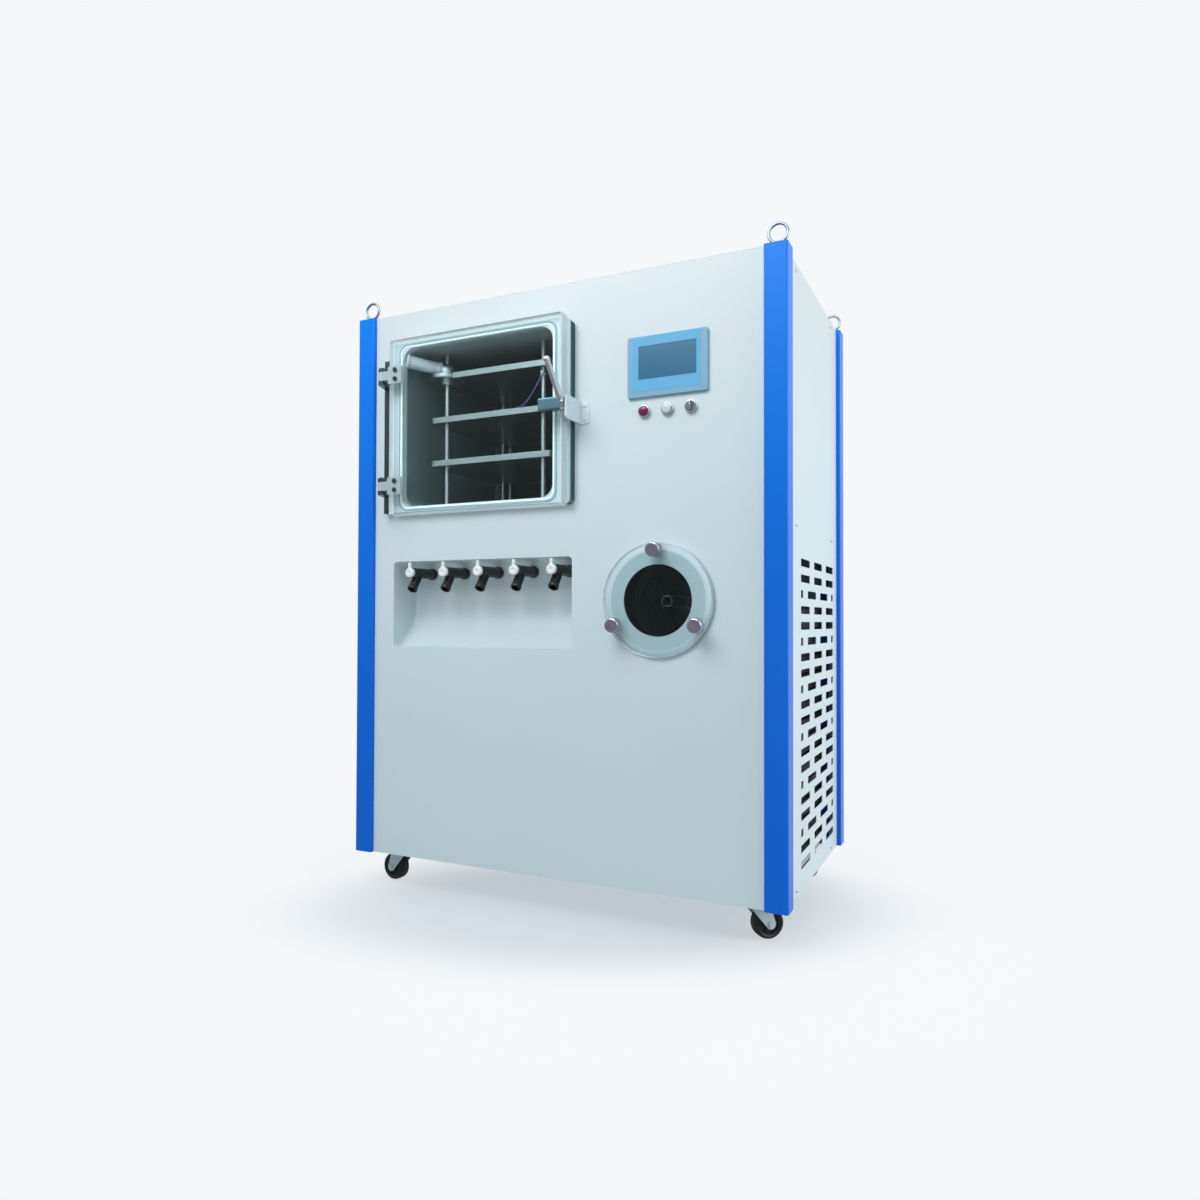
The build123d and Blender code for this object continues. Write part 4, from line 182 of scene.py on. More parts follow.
def new_finish(name, **sockets):
    """A material with its node tree, its shader and the piece's own coordinates."""
    finish = bpy.data.materials.new(name)
    finish.use_nodes = True
    tree = finish.node_tree
    shader = tree.nodes["Principled BSDF"]
    for socket, value in sockets.items():
        shader.inputs[socket.replace("_", " ")].default_value = value
    place = add_node(tree, "ShaderNodeTexCoord").outputs["Object"]
    return finish, tree, shader, place


def split(tree, place):
    """The X, Y and Z of a place or a direction."""
    return add_node(tree, "ShaderNodeSeparateXYZ", None, {"Vector": place}).outputs


def distance(tree, place):
    """How far a place is from the origin."""
    made = add_node(tree, "ShaderNodeVectorMath", {"operation": "LENGTH"}, {0: place})
    return made.outputs["Value"]


def noise(tree, place, size_mm, detail):
    """Random clouds that are size_mm across."""
    values = {"Scale": per_metre(size_mm), "Detail": detail}
    return add_node(tree, "ShaderNodeTexNoise", values, {"Vector": place}).outputs["Fac"]


def ramp(tree, value, ends, over=(0.0, 1.0), curve="LINEAR"):
    """Goes from the first end to the second one while value goes over a range."""
    values = {
        "interpolation_type": curve,
        "From Min": over[0],
        "From Max": over[1],
        "To Min": ends[0],
        "To Max": ends[1],
    }
    return add_node(tree, "ShaderNodeMapRange", values, {"Value": value}).outputs["Result"]


def two_tone(tree, share, first, second):
    """From one hex colour to another."""
    values = {"data_type": "RGBA", 6: to_linear(first), 7: to_linear(second)}
    return add_node(tree, "ShaderNodeMix", values, {0: share}).outputs[2]


def toward(tree, mask, tone, colour):
    """The tone, turned to a hex colour, or to another tone, where the mask holds."""
    values = {"data_type": "RGBA"}
    links = {0: mask, 6: tone}
    if isinstance(colour, str):
        values[7] = to_linear(colour)
    else:
        links[7] = colour
    return add_node(tree, "ShaderNodeMix", values, links).outputs[2]


def both(tree, first, second):
    """The product of two masks: where both of them hold."""
    made = add_node(tree, "ShaderNodeMath", {"operation": "MULTIPLY"}, {0: first, 1: second})
    return made.outputs[0]


def either(tree, first, second):
    """The larger of two masks: where at least one of them holds."""
    made = add_node(tree, "ShaderNodeMath", {"operation": "MAXIMUM"}, {0: first, 1: second})
    return made.outputs[0]


def relief(tree, height, strength, depth):
    """Bumps for the light to catch, depth metres deep."""
    values = {"Strength": strength, "Distance": depth}
    return add_node(tree, "ShaderNodeBump", values, {"Height": height}).outputs["Normal"]


def dress(tree, shader, tone, gloss, bumps=None):
    """Plugs the tone, the gloss and any bumps into the shader."""
    tree.links.new(tone, shader.inputs["Base Color"])
    tree.links.new(gloss, shader.inputs["Roughness"])
    if bumps:
        tree.links.new(bumps, shader.inputs["Normal"])


FINISHES = {}
print("white reads as", [round(v, 3) for v in to_linear("#FFFFFF")])

# %% [markdown]
# ## Powder coat
#
# The panels and posts are steel, sprayed with dry polyester powder and baked.  The powder melts
# into a tough satin skin with a faint dimpled texture, known as orange peel, and its tone drifts
# slightly over a large sheet.  Real dimples are 2 to 3 mm across.  They are drawn at 7 mm here so
# that they still show from across a room.  The same recipe makes the white and the blue coat.  The
# tones also turn with height, as painted light and shade: painted shade greys the panels a little
# near the top, painted light makes the posts paler towards the top and deeper towards their feet,
# and painted light makes the recess paler under its roof.

# %% White and blue powder coat
DRIFT_MM, DIMPLE_MM = 340, 7


def powder_coat(name, deep, pale, dull, shiny, sheen=0.5, above=None):
    """Satin baked coat: two near tones, drifting gloss and orange peel.

    above gives a low height, a high one and a colour, painted light and shade, that the tone turns
    to between them.
    """
    finish, tree, shader, place = new_finish(name, IOR=1.5, Specular_IOR_Level=sheen)
    drift = noise(tree, place, DRIFT_MM, 2.0)
    tone = two_tone(tree, drift, deep, pale)
    # Painted light and shade: the tone turns towards another colour with height.
    if above:
        low, high, height_shading_colour = above
        rise = ramp(tree, split(tree, place)["Z"], (0.0, 1.0), (low, high))
        tone = toward(tree, rise, tone, height_shading_colour)
    dimples = noise(tree, place, DIMPLE_MM, 1.0)
    gloss = ramp(tree, drift, (dull, shiny))
    dress(tree, shader, tone, gloss, relief(tree, dimples, 0.10, 0.5 * MM))
    return finish


RECESS_LOW, RECESS_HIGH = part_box("manifold_recess")
RECESS_MIDDLE = (RECESS_LOW.z + RECESS_HIGH.z) / 2
ABOVE_RECESS = RECESS_HIGH.z + 30 * MM
# Painted shade greys the panels' tops; painted light brightens the posts' tops and the recess under
# its roof.
PANEL_PAINTED_SHADE = (1.15, 1.75, "#CFD8DA")
POST_PAINTED_LIGHT = (0.60, 1.60, "#0E7DEB")
RECESS_PAINTED_LIGHT = (RECESS_MIDDLE, ABOVE_RECESS, "#F2FFFF")
FINISHES["white_sheet"] = powder_coat(
    "white_powder_coat", "#CBDCE2", "#D4E3E8", 0.46, 0.36, above=PANEL_PAINTED_SHADE
)
FINISHES["blue_post"] = powder_coat(
    "blue_powder_coat", "#0A62D0", "#0E6CDE", 0.38, 0.28, sheen=0.15, above=POST_PAINTED_LIGHT
)
FINISHES["recess"] = powder_coat(
    "white_powder_coat_in_recess", "#C6D7DD", "#CFDEE3", 0.46, 0.36, above=RECESS_PAINTED_LIGHT
)
print("coats:", ", ".join(f.name for f in FINISHES.values()))

# %% [markdown]
# ## Zinc plate
#
# The caster plates, the base pan and the inner frame are pressed steel with a thin coat of bright
# zinc.  Zinc is a real metal surface: grey, rather dull, and clouded where the plating bath left it
# thicker or thinner.  The clouds are 10 to 30 mm across, which shows as it is.

# %% Zinc plate
ZINC_CLOUD_MM = 22


def zinc_plate():
    """Clouded bright zinc over pressed steel."""
    finish, tree, shader, place = new_finish("bright_zinc_plate", Metallic=1.0)
    clouds = noise(tree, place, ZINC_CLOUD_MM, 4.0)
    tone = two_tone(tree, clouds, "#B4BABD", "#CFD3D6")
    gloss = ramp(tree, clouds, (0.48, 0.30))
    dress(tree, shader, tone, gloss, relief(tree, clouds, 0.15, 0.4 * MM))
    return finish


FINISHES["zinc_sheet"] = zinc_plate()
print("zinc:", FINISHES["zinc_sheet"].name)

# %% [markdown]
# ## Stainless steel
#
# The chamber, the shelves and the trap are brushed stainless sheet: a belt leaves long parallel
# scratches, so the surface is streaky along one way and fine across it.  The streaks are noise
# stretched along the brushing.  Real scratches are a tenth of a millimetre wide, and are drawn
# 1.5 mm wide.

# %% Brushed stainless
STREAK_LONG_MM, STREAK_WIDE_MM = 160, 1.5
METAL_WHERE_MATT = 0.25


def brushed_stainless(name, dark, light, dull, shiny, along="X", shade=None, grazing="#FFFFFF"):
    """Streaks along one axis; shade(tree, place, tone) gives a tone and a mask of matt parts."""
    finish, tree, shader, place = new_finish(name, Metallic=1.0, Specular_Tint=to_linear(grazing))
    long_way, short_way = per_metre(STREAK_LONG_MM), per_metre(STREAK_WIDE_MM)
    stretch = [long_way if axis == along else short_way for axis in "XYZ"]
    laid = add_node(
        tree, "ShaderNodeMapping", {"Scale": stretch}, {"Vector": place}
    ).outputs["Vector"]
    streaks = add_node(
        tree, "ShaderNodeTexNoise", {"Scale": 1.0, "Detail": 3.0}, {"Vector": laid}
    ).outputs["Fac"]
    tone = two_tone(tree, streaks, dark, light)
    if shade:
        tone, matt = shade(tree, place, tone)
        metal = ramp(tree, matt, (1.0, METAL_WHERE_MATT))
        tree.links.new(metal, shader.inputs["Metallic"])
    gloss = ramp(tree, streaks, (dull, shiny))
    dress(tree, shader, tone, gloss, relief(tree, streaks, 0.12, 0.2 * MM))
    return finish


FINISHES["stainless"] = brushed_stainless("brushed_stainless", "#8E9C9F", "#B4C0C3", 0.42, 0.24)
FINISHES["shelf"] = brushed_stainless("brushed_stainless_shelf", "#7C8E90", "#A3B2B4", 0.40, 0.26)
# The hinge bracket's dark steel is painted shade, for the shadowed gap beside the door.
FINISHES["hinge_bar"] = brushed_stainless("stainless_with_painted_shade", "#3F4F57", "#5B6B73", 0.40, 0.30, "Z")
print("stainless:", FINISHES["stainless"].name)

# %% [markdown]
# ## Dark hollows
#
# Little light reaches the inside of the chamber and the trap, and what does is lost between their
# walls.  A real boxful of such reflections is slow and noisy to render, so the steel itself gets
# darker with depth, as painted shade.  A mask says where the hollow is: a box for the chamber and a
# drum for the trap.  The chamber's left wall catches light through the door, and painted light
# keeps it and the mouth lighter than the rest.  Painted shade darkens the right edge of the
# chamber's flange, beside the door, and the lower part of the trap's pale enamel ring, whose upper
# part gets painted light.  Where a mask has no limit on one side, it reaches a metre out, beyond
# every piece it is used on.

# %% Masks and shades
OUT = 1.0


def between(tree, value, low, high, soft):
    """One where value lies from low to high, falling to nothing over a soft width."""
    rise = ramp(tree, value, (0.0, 1.0), (low - soft, low))
    fall = ramp(tree, value, (1.0, 0.0), (high, high + soft))
    return both(tree, rise, fall)


CHAMBER_LOW, CHAMBER_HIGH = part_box("chamber_shell")
FLANGE_SIDE, FLANGE_TOP = 43.0 * MM, 16.0 * MM
FLANGE_FACE, FLANGE_EDGE = 0.6 * MM, 1.2 * MM
HOLLOW_STARTS, DARK_FROM = 3 * MM, 300 * MM
MOUTH, MOUTH_SOFT = 15 * MM, 6 * MM
WALL_SOFT = 20 * MM


def chamber_shade(tree, place, tone):
    """Painted shade inside, painted light at the mouth and left wall; pale flange face, painted
    shade on its edge.
    """
    parts = split(tree, place)
    left, right = CHAMBER_LOW.x + FLANGE_SIDE, CHAMBER_HIGH.x - FLANGE_SIDE
    floor, roof = CHAMBER_LOW.z + FLANGE_TOP, CHAMBER_HIGH.z - FLANGE_TOP
    front = CHAMBER_LOW.y
    across = between(tree, parts["X"], left - MM, right + MM, 0.5 * MM)
    upright = between(tree, parts["Z"], floor - MM, roof + MM, 0.5 * MM)
    behind = between(tree, parts["Y"], front + HOLLOW_STARTS, OUT, MM)
    hollow = both(tree, both(tree, across, upright), behind)
    # Painted shade that deepens into the chamber; painted light on the left wall and at the mouth.
    depth = ramp(tree, parts["Y"], (0.0, 1.0), (front, front + DARK_FROM))
    inside = toward(tree, depth, tone, "#24312F")
    wall = between(tree, parts["X"], left - 2 * MM, left + MM, WALL_SOFT)
    inside = toward(tree, wall, inside, "#5E7476")
    mouth = between(tree, parts["Y"], front, front + MOUTH, MOUTH_SOFT)
    inside = toward(tree, mouth, inside, "#B4C6CB")
    tone = toward(tree, hollow, tone, inside)
    face = between(tree, parts["Y"], -OUT, front + FLANGE_FACE, 0.3 * MM)
    tone = toward(tree, face, tone, "#AEC0C6")
    # Painted shade on the flange's right edge, beside the door.
    rim = between(tree, parts["X"], CHAMBER_HIGH.x - FLANGE_EDGE, OUT, 0.3 * MM)
    return toward(tree, rim, tone, "#6A8188"), either(tree, hollow, face)


TRAP_LOW, TRAP_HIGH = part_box("trap_vessel")
TRAP_AXIS = (TRAP_LOW + TRAP_HIGH) / 2
RING_FACE_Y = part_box("trap_window")[1].y + 0.3 * MM
RING_DEPTH = 9 * MM
TRAP_INSIDE_R = 119.6 * MM
ENAMEL_R, ENAMEL_SOFT, ENAMEL_SPAN = 130 * MM, 14 * MM, 140 * MM
PIPE_TIP_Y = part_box("vacuum_pipe")[0].y
PIPE_R = 16 * MM


def trap_shade(tree, place, tone):
    """Painted shade inside the drum; pale enamel outside the seal ring, with painted shade low down
    and painted light high up; steel between and behind.
    """
    about = add_node(
        tree,
        "ShaderNodeMapping",
        {"Location": (-TRAP_AXIS.x, 0.0, -TRAP_AXIS.z), "Scale": (1.0, 0.0, 1.0)},
        {"Vector": place},
    ).outputs["Vector"]
    radius = distance(tree, about)
    parts = split(tree, place)
    within = between(tree, radius, -OUT, TRAP_INSIDE_R, 0.4 * MM)
    behind = between(tree, parts["Y"], RING_FACE_Y + 0.8 * MM, TRAP_HIGH.y, MM)
    drum = both(tree, within, behind)
    face = between(tree, parts["Y"], RING_FACE_Y - 0.1 * MM, RING_FACE_Y + RING_DEPTH, 0.1 * MM)
    enamel = both(tree, face, between(tree, radius, ENAMEL_R, OUT, ENAMEL_SOFT))
    # The enamel ring's tone runs from painted shade at its foot to painted light at its head.
    foot, head = TRAP_AXIS.z - ENAMEL_SPAN, TRAP_AXIS.z + ENAMEL_SPAN
    painted = two_tone(tree, ramp(tree, parts["Z"], (0.0, 1.0), (foot, head)), "#85949A", "#CFD7DD")
    tone = toward(tree, enamel, tone, painted)
    end = between(tree, parts["Y"], PIPE_TIP_Y - 0.5 * MM, PIPE_TIP_Y + 0.5 * MM, 0.2 * MM)
    middle = between(tree, radius, -OUT, PIPE_R, MM)
    tip = both(tree, both(tree, drum, end), middle)
    # Painted shade inside the drum, left lighter on the pipe's tip.
    tone = toward(tree, drum, tone, "#141C1C")
    return toward(tree, tip, tone, "#45555A"), face


# The dark grazing tints of the chamber and the trap steel are painted shade on their reflections.
FINISHES["chamber"] = brushed_stainless(
    "brushed_stainless_chamber", "#8A9C9F", "#AEBBBE", 0.46, 0.30, "Z", chamber_shade, "#4A5C5E"
)
FINISHES["trap"] = brushed_stainless(
    "brushed_stainless_trap", "#9AB1B8", "#A6BAC1", 0.52, 0.40, "X", trap_shade, "#4A5C5E"
)
FINISHES["trap_inner"] = brushed_stainless(
    "brushed_stainless_in_trap", "#9AA5A8", "#BEC7CA", 0.50, 0.36, "X", trap_shade, "#2E3B3D"
)
SCREW_FRONT_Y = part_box("door_hinge_leaves")[0].y
SCREW_HEAD = 3.6 * MM


def hinge_shade(tree, place, tone):
    """Satin leaves all over, with the dark heads of the cap screws that stand proud of them."""
    deep = split(tree, place)["Y"]
    screws = between(tree, deep, -OUT, SCREW_FRONT_Y + SCREW_HEAD, 0.2 * MM)
    satin = between(tree, deep, -OUT, OUT, MM)
    return toward(tree, screws, tone, "#35464D"), satin


FINISHES["satin_stainless"] = brushed_stainless(
    "satin_stainless", "#A4B6BD", "#BFCED4", 0.46, 0.34, "Z", hinge_shade
)
print("chamber and trap shaded, trap axis at", [round(v / MM) for v in TRAP_AXIS])

# %% [markdown]
# ## Polished metal
#
# The lever, the hand nuts, the switch bodies and the screws are chromed or polished.  They mirror
# the room, with faint smudges from handling that dull them in patches a few centimetres wide.  The
# hand nuts' mauve tint is a painted reflection.  The same recipe makes the duller metals: the
# lifting eyes are zinc plated, the latch block is anodised, and the caster forks' zinc is sealed
# under a thin clear film.

# %% Polished metal
SMUDGE_MM = 30


def polished_metal(name, deep, pale, dull, shiny, metal=1.0):
    """Bright plate with faint smudges; metal under one is a plate with a thin clear film on it."""
    finish, tree, shader, place = new_finish(name, Metallic=metal)
    smudge = noise(tree, place, SMUDGE_MM, 3.0)
    tone = two_tone(tree, smudge, deep, pale)
    dress(tree, shader, tone, ramp(tree, smudge, (dull, shiny)))
    return finish


FINISHES["bright_steel"] = polished_metal("polished_chrome", "#BCC3C8", "#DADFE2", 0.22, 0.08)
FINISHES["eye_steel"] = polished_metal("forged_zinc", "#8597A3", "#A3B4BE", 0.40, 0.26)
FINISHES["latch_block"] = polished_metal("blue_grey_anodised", "#4C7F9E", "#7FA2A4", 0.36, 0.24)
FINISHES["fork_zinc"] = polished_metal(
    "passivated_zinc_fork", "#BACBCF", "#CEDBDF", 0.50, 0.40, metal=0.35
)
# The hand nuts' mauve tint is a painted reflection.
FINISHES["nut_steel"] = polished_metal("chromed_hand_nut", "#A196AC", "#CBCBD6", 0.24, 0.10)
print("polished:", FINISHES["bright_steel"].name)

# %% [markdown]
# ## Cast acrylic
#
# The chamber door and the trap's disc are thick cast acrylic, as clear as water.  Only the sawn
# and routed edges are frosted, so they catch the light and look milky.  The faces are polished,
# and the edge of the same block is found by its distance from the middle.  Neither pane casts a
# shadow, so the lamps light what lies behind it.

# %% Cast acrylic
FROST = 0.45


def cast_acrylic(name, node, edge_mm, rounded, edge_colour, edge_clear):
    """Clear block whose outer edge_mm is frosted; rounded measures a disc, otherwise a plate."""
    finish, tree, shader, place = new_finish(name, IOR=1.49, Specular_Tint=to_linear("#808C8E"))
    low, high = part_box(node)
    centre, half = (low + high) / 2, (high - low) / 2
    shift = add_node(
        tree, "ShaderNodeMapping", {"Location": -centre}, {"Vector": place}
    ).outputs["Vector"]
    if rounded:
        flat = add_node(
            tree, "ShaderNodeMapping", {"Scale": (1.0, 0.0, 1.0)}, {"Vector": shift}
        ).outputs["Vector"]
        farther = {"operation": "GREATER_THAN", 1: half.x - edge_mm * MM}
        edge = add_node(tree, "ShaderNodeMath", farther, {0: distance(tree, flat)}).outputs[0]
    else:
        parts = split(tree, shift)
        clear = []
        for axis, reach in (("X", half.x), ("Z", half.z)):
            nearer = {"operation": "COMPARE", 1: 0.0, 2: reach - edge_mm * MM}
            clear.append(add_node(tree, "ShaderNodeMath", nearer, {0: parts[axis]}).outputs[0])
        edge = ramp(tree, both(tree, *clear), (1.0, 0.0))
    tone = two_tone(tree, edge, "#F4FAFA", edge_colour)
    dress(tree, shader, tone, ramp(tree, edge, (0.0, FROST)))
    clearness = ramp(tree, edge, (1.0, edge_clear))
    tree.links.new(clearness, shader.inputs["Transmission Weight"])
    return finish


FINISHES["door"] = cast_acrylic("cast_acrylic_door", "door_plate", 2.4, False, "#E4EEF2", 0.35)
FINISHES["window"] = cast_acrylic("cast_acrylic_disc", "trap_window", 2.6, True, "#CDDBE0", 0.55)
for pane in ("door_plate", "trap_window"):
    frame["nodes"][pane].visible_shadow = False
print("panes:", FINISHES["door"].name, FINISHES["window"].name)

# %% [markdown]
# ## Rubber and silicone
#
# The valves are moulded EPDM rubber, nearly black, with a soft sheen and a slightly uneven skin.
# The door seal's lip is translucent silicone: light enters it and comes out again a few
# millimetres away, so it glows instead of shining.  The seal's outer ring is grey and opaque: its
# grey is painted shade, for the dark gap between the seal and the door's edge.  The tyres are
# harder rubber that has rolled over a dusty floor.

# %% Rubber, silicone and tyre
GRAIN_DEPTH = 0.3 * MM


def moulded(name, deep, pale, cloud_mm, dull, shiny, grain_mm, grain, **sockets):
    """A moulded skin: two tones in clouds, drifting gloss and a fine grain."""
    finish, tree, shader, place = new_finish(name, **sockets)
    clouds = noise(tree, place, cloud_mm, 3.0)
    tone = two_tone(tree, clouds, deep, pale)
    gloss = ramp(tree, clouds, (dull, shiny))
    skin = noise(tree, place, grain_mm, 1.0)
    dress(tree, shader, tone, gloss, relief(tree, skin, grain, GRAIN_DEPTH))
    return finish


def translucent(weight, red, green, blue):
    """Sockets of a material that light enters, and how deep in metres each colour reaches."""
    return {
        "Subsurface_Weight": weight,
        "Subsurface_Radius": (red, green, blue),
        "Subsurface_Scale": 1.0,
    }


FINISHES["black_rubber"] = moulded(
    "epdm_rubber", "#0A0E0E", "#141A1A", 18, 0.42, 0.26, 2.0, 0.12, IOR=1.52
)
# Painted shade: the seal's grey outer ring stands for the dark gap round the seal.
FINISHES["seal_gap_shade"] = moulded(
    "grey_silicone_painted_gap_shade", "#7B979C", "#8CA6AA", 40, 0.50, 0.38, 2.5, 0.08, IOR=1.43
)
FINISHES["silicone"] = moulded(
    "translucent_silicone", "#D3E0E5", "#E2ECEF", 40, 0.50, 0.38, 2.5, 0.08, IOR=1.43,
    **translucent(0.35, 0.004, 0.004, 0.004),
)
FINISHES["black_tyre"] = moulded(
    "tyre_rubber", "#080B0B", "#15191A", 12, 0.62, 0.46, 2.0, 0.25, IOR=1.52
)
print("soft finishes:", len(FINISHES))

# %% [markdown]
# ## Plastics
#
# Knobs, caps, bezels and the cable gland are injection moulded.  ABS and nylon copy the surface of
# their steel mould: the knobs' mould is polished, and the gland's is spark-eroded matt.  The push
# caps are clear-tinted polycarbonate, which lets a little light into its depth.  The panel's film
# and glass, the wheel hubs and the lead's sheath come out of the same recipe.

# %% Plastics and lead sheath
FINISHES["white_plastic"] = moulded(
    "gloss_white_abs", "#E3EAEC", "#F2F6F6", 20, 0.24, 0.14, 4.0, 0.03, IOR=1.53,
    **translucent(0.08, 0.002, 0.002, 0.002),
)
FINISHES["black_plastic"] = moulded(
    "black_nylon", "#141516", "#202223", 15, 0.58, 0.46, 1.5, 0.30, IOR=1.53
)
FINISHES["panel_blue"] = moulded(
    "pale_blue_abs", "#74A6C3", "#80ABC6", 60, 0.42, 0.32, 3.0, 0.06, IOR=1.53
)
FINISHES["red_cap"] = moulded(
    "red_polycarbonate", "#640D42", "#801650", 9, 0.22, 0.12, 3.0, 0.05, IOR=1.58,
    **translucent(0.2, 0.003, 0.0006, 0.001),
)
FINISHES["green_cap"] = moulded(
    "pale_green_polycarbonate", "#B6D2CE", "#CFE3E0", 9, 0.22, 0.12, 3.0, 0.05, IOR=1.58,
    **translucent(0.2, 0.001, 0.003, 0.002),
)
FINISHES["grey_cap"] = moulded(
    "grey_nylon", "#56616B", "#77828C", 9, 0.40, 0.28, 2.0, 0.12, IOR=1.53
)
FINISHES["purple_lead"] = moulded(
    "purple_pvc_sheath", "#3C3576", "#544C99", 10, 0.44, 0.32, 1.5, 0.10, IOR=1.53
)
FINISHES["membrane"] = moulded(
    "sky_blue_polyester_film", "#58A8D8", "#69B3DD", 60, 0.44, 0.34, 3.0, 0.06, IOR=1.6,
    Specular_IOR_Level=0.25,
)
FINISHES["display"] = moulded(
    "tinted_display_glass", "#3B6F90", "#427896", 70, 0.40, 0.32, 6.0, 0.01, IOR=1.52,
    Specular_IOR_Level=0.15,
)
FINISHES["grey_wheel"] = moulded(
    "grey_polypropylene", "#0D1212", "#1A2021", 14, 0.50, 0.40, 2.0, 0.15, IOR=1.49
)
FINISHES["pointer"] = moulded(
    "white_inlay", "#DCE4E6", "#EDF2F2", 12, 0.40, 0.30, 2.0, 0.08, IOR=1.5
)
print("all moulded finishes:", len(FINISHES))

# %% [markdown]
# ## Machinery finishes
#
# Inside, the compressor can is stove-enamelled black, and the condenser coil has thin aluminium
# fins that are 2 mm apart.  They are drawn as bands about 25 mm apart, which is what can be told
# apart through the cabinet's slots.  The coil is drawn dark, and the darker bands between the fins
# are painted shade.

# %% Enamel and fins
FINISHES["black_enamel"] = moulded(
    "black_stove_enamel", "#0C0D0E", "#17191B", 60, 0.34, 0.22, 6.0, 0.10, IOR=1.5
)
BAND_SCALE, DUST_MM = 12.5, 45


def aluminium_fins():
    """Bare fins edge-on, drawn dark: bands of painted shade for the gaps, across a dusty metal."""
    finish, tree, shader, place = new_finish("aluminium_fins", Metallic=0.9)
    bands = {"bands_direction": "Y", "Scale": BAND_SCALE, "Distortion": 0.4, "Detail": 1.0}
    lines = add_node(tree, "ShaderNodeTexWave", bands, {"Vector": place}).outputs["Fac"]
    # The darker bands are painted shade in the gaps between the fins.
    tone = two_tone(tree, lines, "#0B0E10", "#2C3337")
    gloss = ramp(tree, noise(tree, place, DUST_MM, 4.0), (0.35, 0.6))
    dress(tree, shader, tone, gloss, relief(tree, lines, 0.4, MM))
    return finish


FINISHES["finned_aluminium"] = aluminium_fins()
print("machinery finishes made")

# %% [markdown]
# ## Finishes on the CAD pieces
#
# The imported record says which finish slot each piece has.  Some pieces have a finish of their own
# instead: the chamber, the trap and the recess carry painted light and shade, the two clear pieces
# differ at the edge, the hinge bracket is dark with painted shade, the hand nuts carry a painted
# reflection, and the shelves, eyes, hinge leaves, latch block and caster forks have a metal of
# their own.

# %% Hand the finishes out
CORNERS = ("front_left", "front_right", "rear_left", "rear_right")
OWN_FINISH = {
    "chamber_shell": "chamber",
    "shelves": "shelf",
    "trap_vessel": "trap",
    "trap_coil": "trap_inner",
    "vacuum_pipe": "trap_inner",
    "door_plate": "door",
    "trap_window": "window",
    "lifting_eyes": "eye_steel",
    "latch_block": "latch_block",
    "door_hinge_leaves": "satin_stainless",
    "manifold_recess": "recess",
    "hinge_bracket": "hinge_bar",
}
for number in range(1, 4):
    OWN_FINISH[f"window_knob_{number}"] = "nut_steel"
for corner in CORNERS:
    OWN_FINISH[f"caster_fork_{corner}"] = "fork_zinc"
SLOT_OF = {part["node"]: part["material_slot"] for part in frame["record"]["subparts"]}
for node, cad in frame["nodes"].items():
    finish = FINISHES[OWN_FINISH.get(node, SLOT_OF[node])]
    for holder in cad.material_slots:
        holder.material = finish
probe_sheath.data.materials.append(FINISHES["purple_lead"])
print("finished CAD pieces:", len(frame["nodes"]))

# %% [markdown]
# ## Tools for pieces
#
# The pieces below are turned, pressed or moulded.  A turned piece is half a silhouette of a few
# points spun about its axis.  A pressed sheet is one face with rounded corners, pulled up to its
# thickness, with softened front edges.  Both are drawn flat at the origin with their front towards
# +Z, then turned so that the front faces the operator.

# %% Turning, pressing and placing
def facing_front(x, y, z):
    """Places a drawing so that its +Z points at the operator and its +Y points up."""
    return Matrix.Translation((x, y, z)) @ Matrix.Rotation(math.pi / 2, 4, "X")


def soften(work, width_mm, sharper_deg=40.0, segments=3):
    """Rounds every edge that is sharper than an angle."""
    sharp = [e for e in work.edges if e.calc_face_angle(0.0) > math.radians(sharper_deg)]
    bmesh.ops.bevel(
        work,
        geom=sharp,
        affect="EDGES",
        offset=width_mm * MM,
        offset_type="OFFSET",
        segments=segments,
        profile=0.5,
        material=-1,
        clamp_overlap=True,
    )


def turned(profile, place, steps=48, soft_mm=0.0):
    """Spins (radius, height) points, in mm, about +Z; a last point equal to the first closes it."""
    work = bmesh.new()
    closed = profile[0] == profile[-1]
    corners = profile[:-1] if closed else profile
    chain = [work.verts.new((r * MM, 0.0, h * MM)) for r, h in corners]
    ends = zip(chain, chain[1:] + chain[:1]) if closed else zip(chain, chain[1:])
    line = [work.edges.new(pair) for pair in ends]
    bmesh.ops.spin(
        work,
        geom=chain + line,
        cent=(0, 0, 0),
        axis=(0, 0, 1),
        dvec=(0, 0, 0),
        angle=math.tau,
        steps=steps,
        use_merge=True,
        use_duplicate=False,
    )
    bmesh.ops.remove_doubles(work, verts=work.verts[:], dist=0.005 * MM)
    bmesh.ops.recalc_face_normals(work, faces=work.faces[:])
    if soft_mm:
        soften(work, soft_mm)
    bmesh.ops.transform(work, matrix=place, verts=work.verts[:])
    return work


RIM_ANGLE = math.radians(60)


def raise_sheet(work, thick_mm, edge_mm):
    """Pulls flat faces up to a thickness and rounds the rim of the front."""
    pulled = bmesh.ops.extrude_face_region(work, geom=work.faces[:])["geom"]
    top = [g for g in pulled if isinstance(g, bmesh.types.BMVert)]
    bmesh.ops.translate(work, vec=(0, 0, thick_mm * MM), verts=top)
    bmesh.ops.recalc_face_normals(work, faces=work.faces[:])
    if edge_mm:
        above = set(top)
        lifted = [e for e in work.edges if set(e.verts) <= above]
        rim = [e for e in lifted if e.calc_face_angle(0.0) > RIM_ANGLE]
        bmesh.ops.bevel(
            work,
            geom=rim,
            affect="EDGES",
            offset=edge_mm * MM,
            segments=4,
            profile=0.5,
            material=-1,
        )


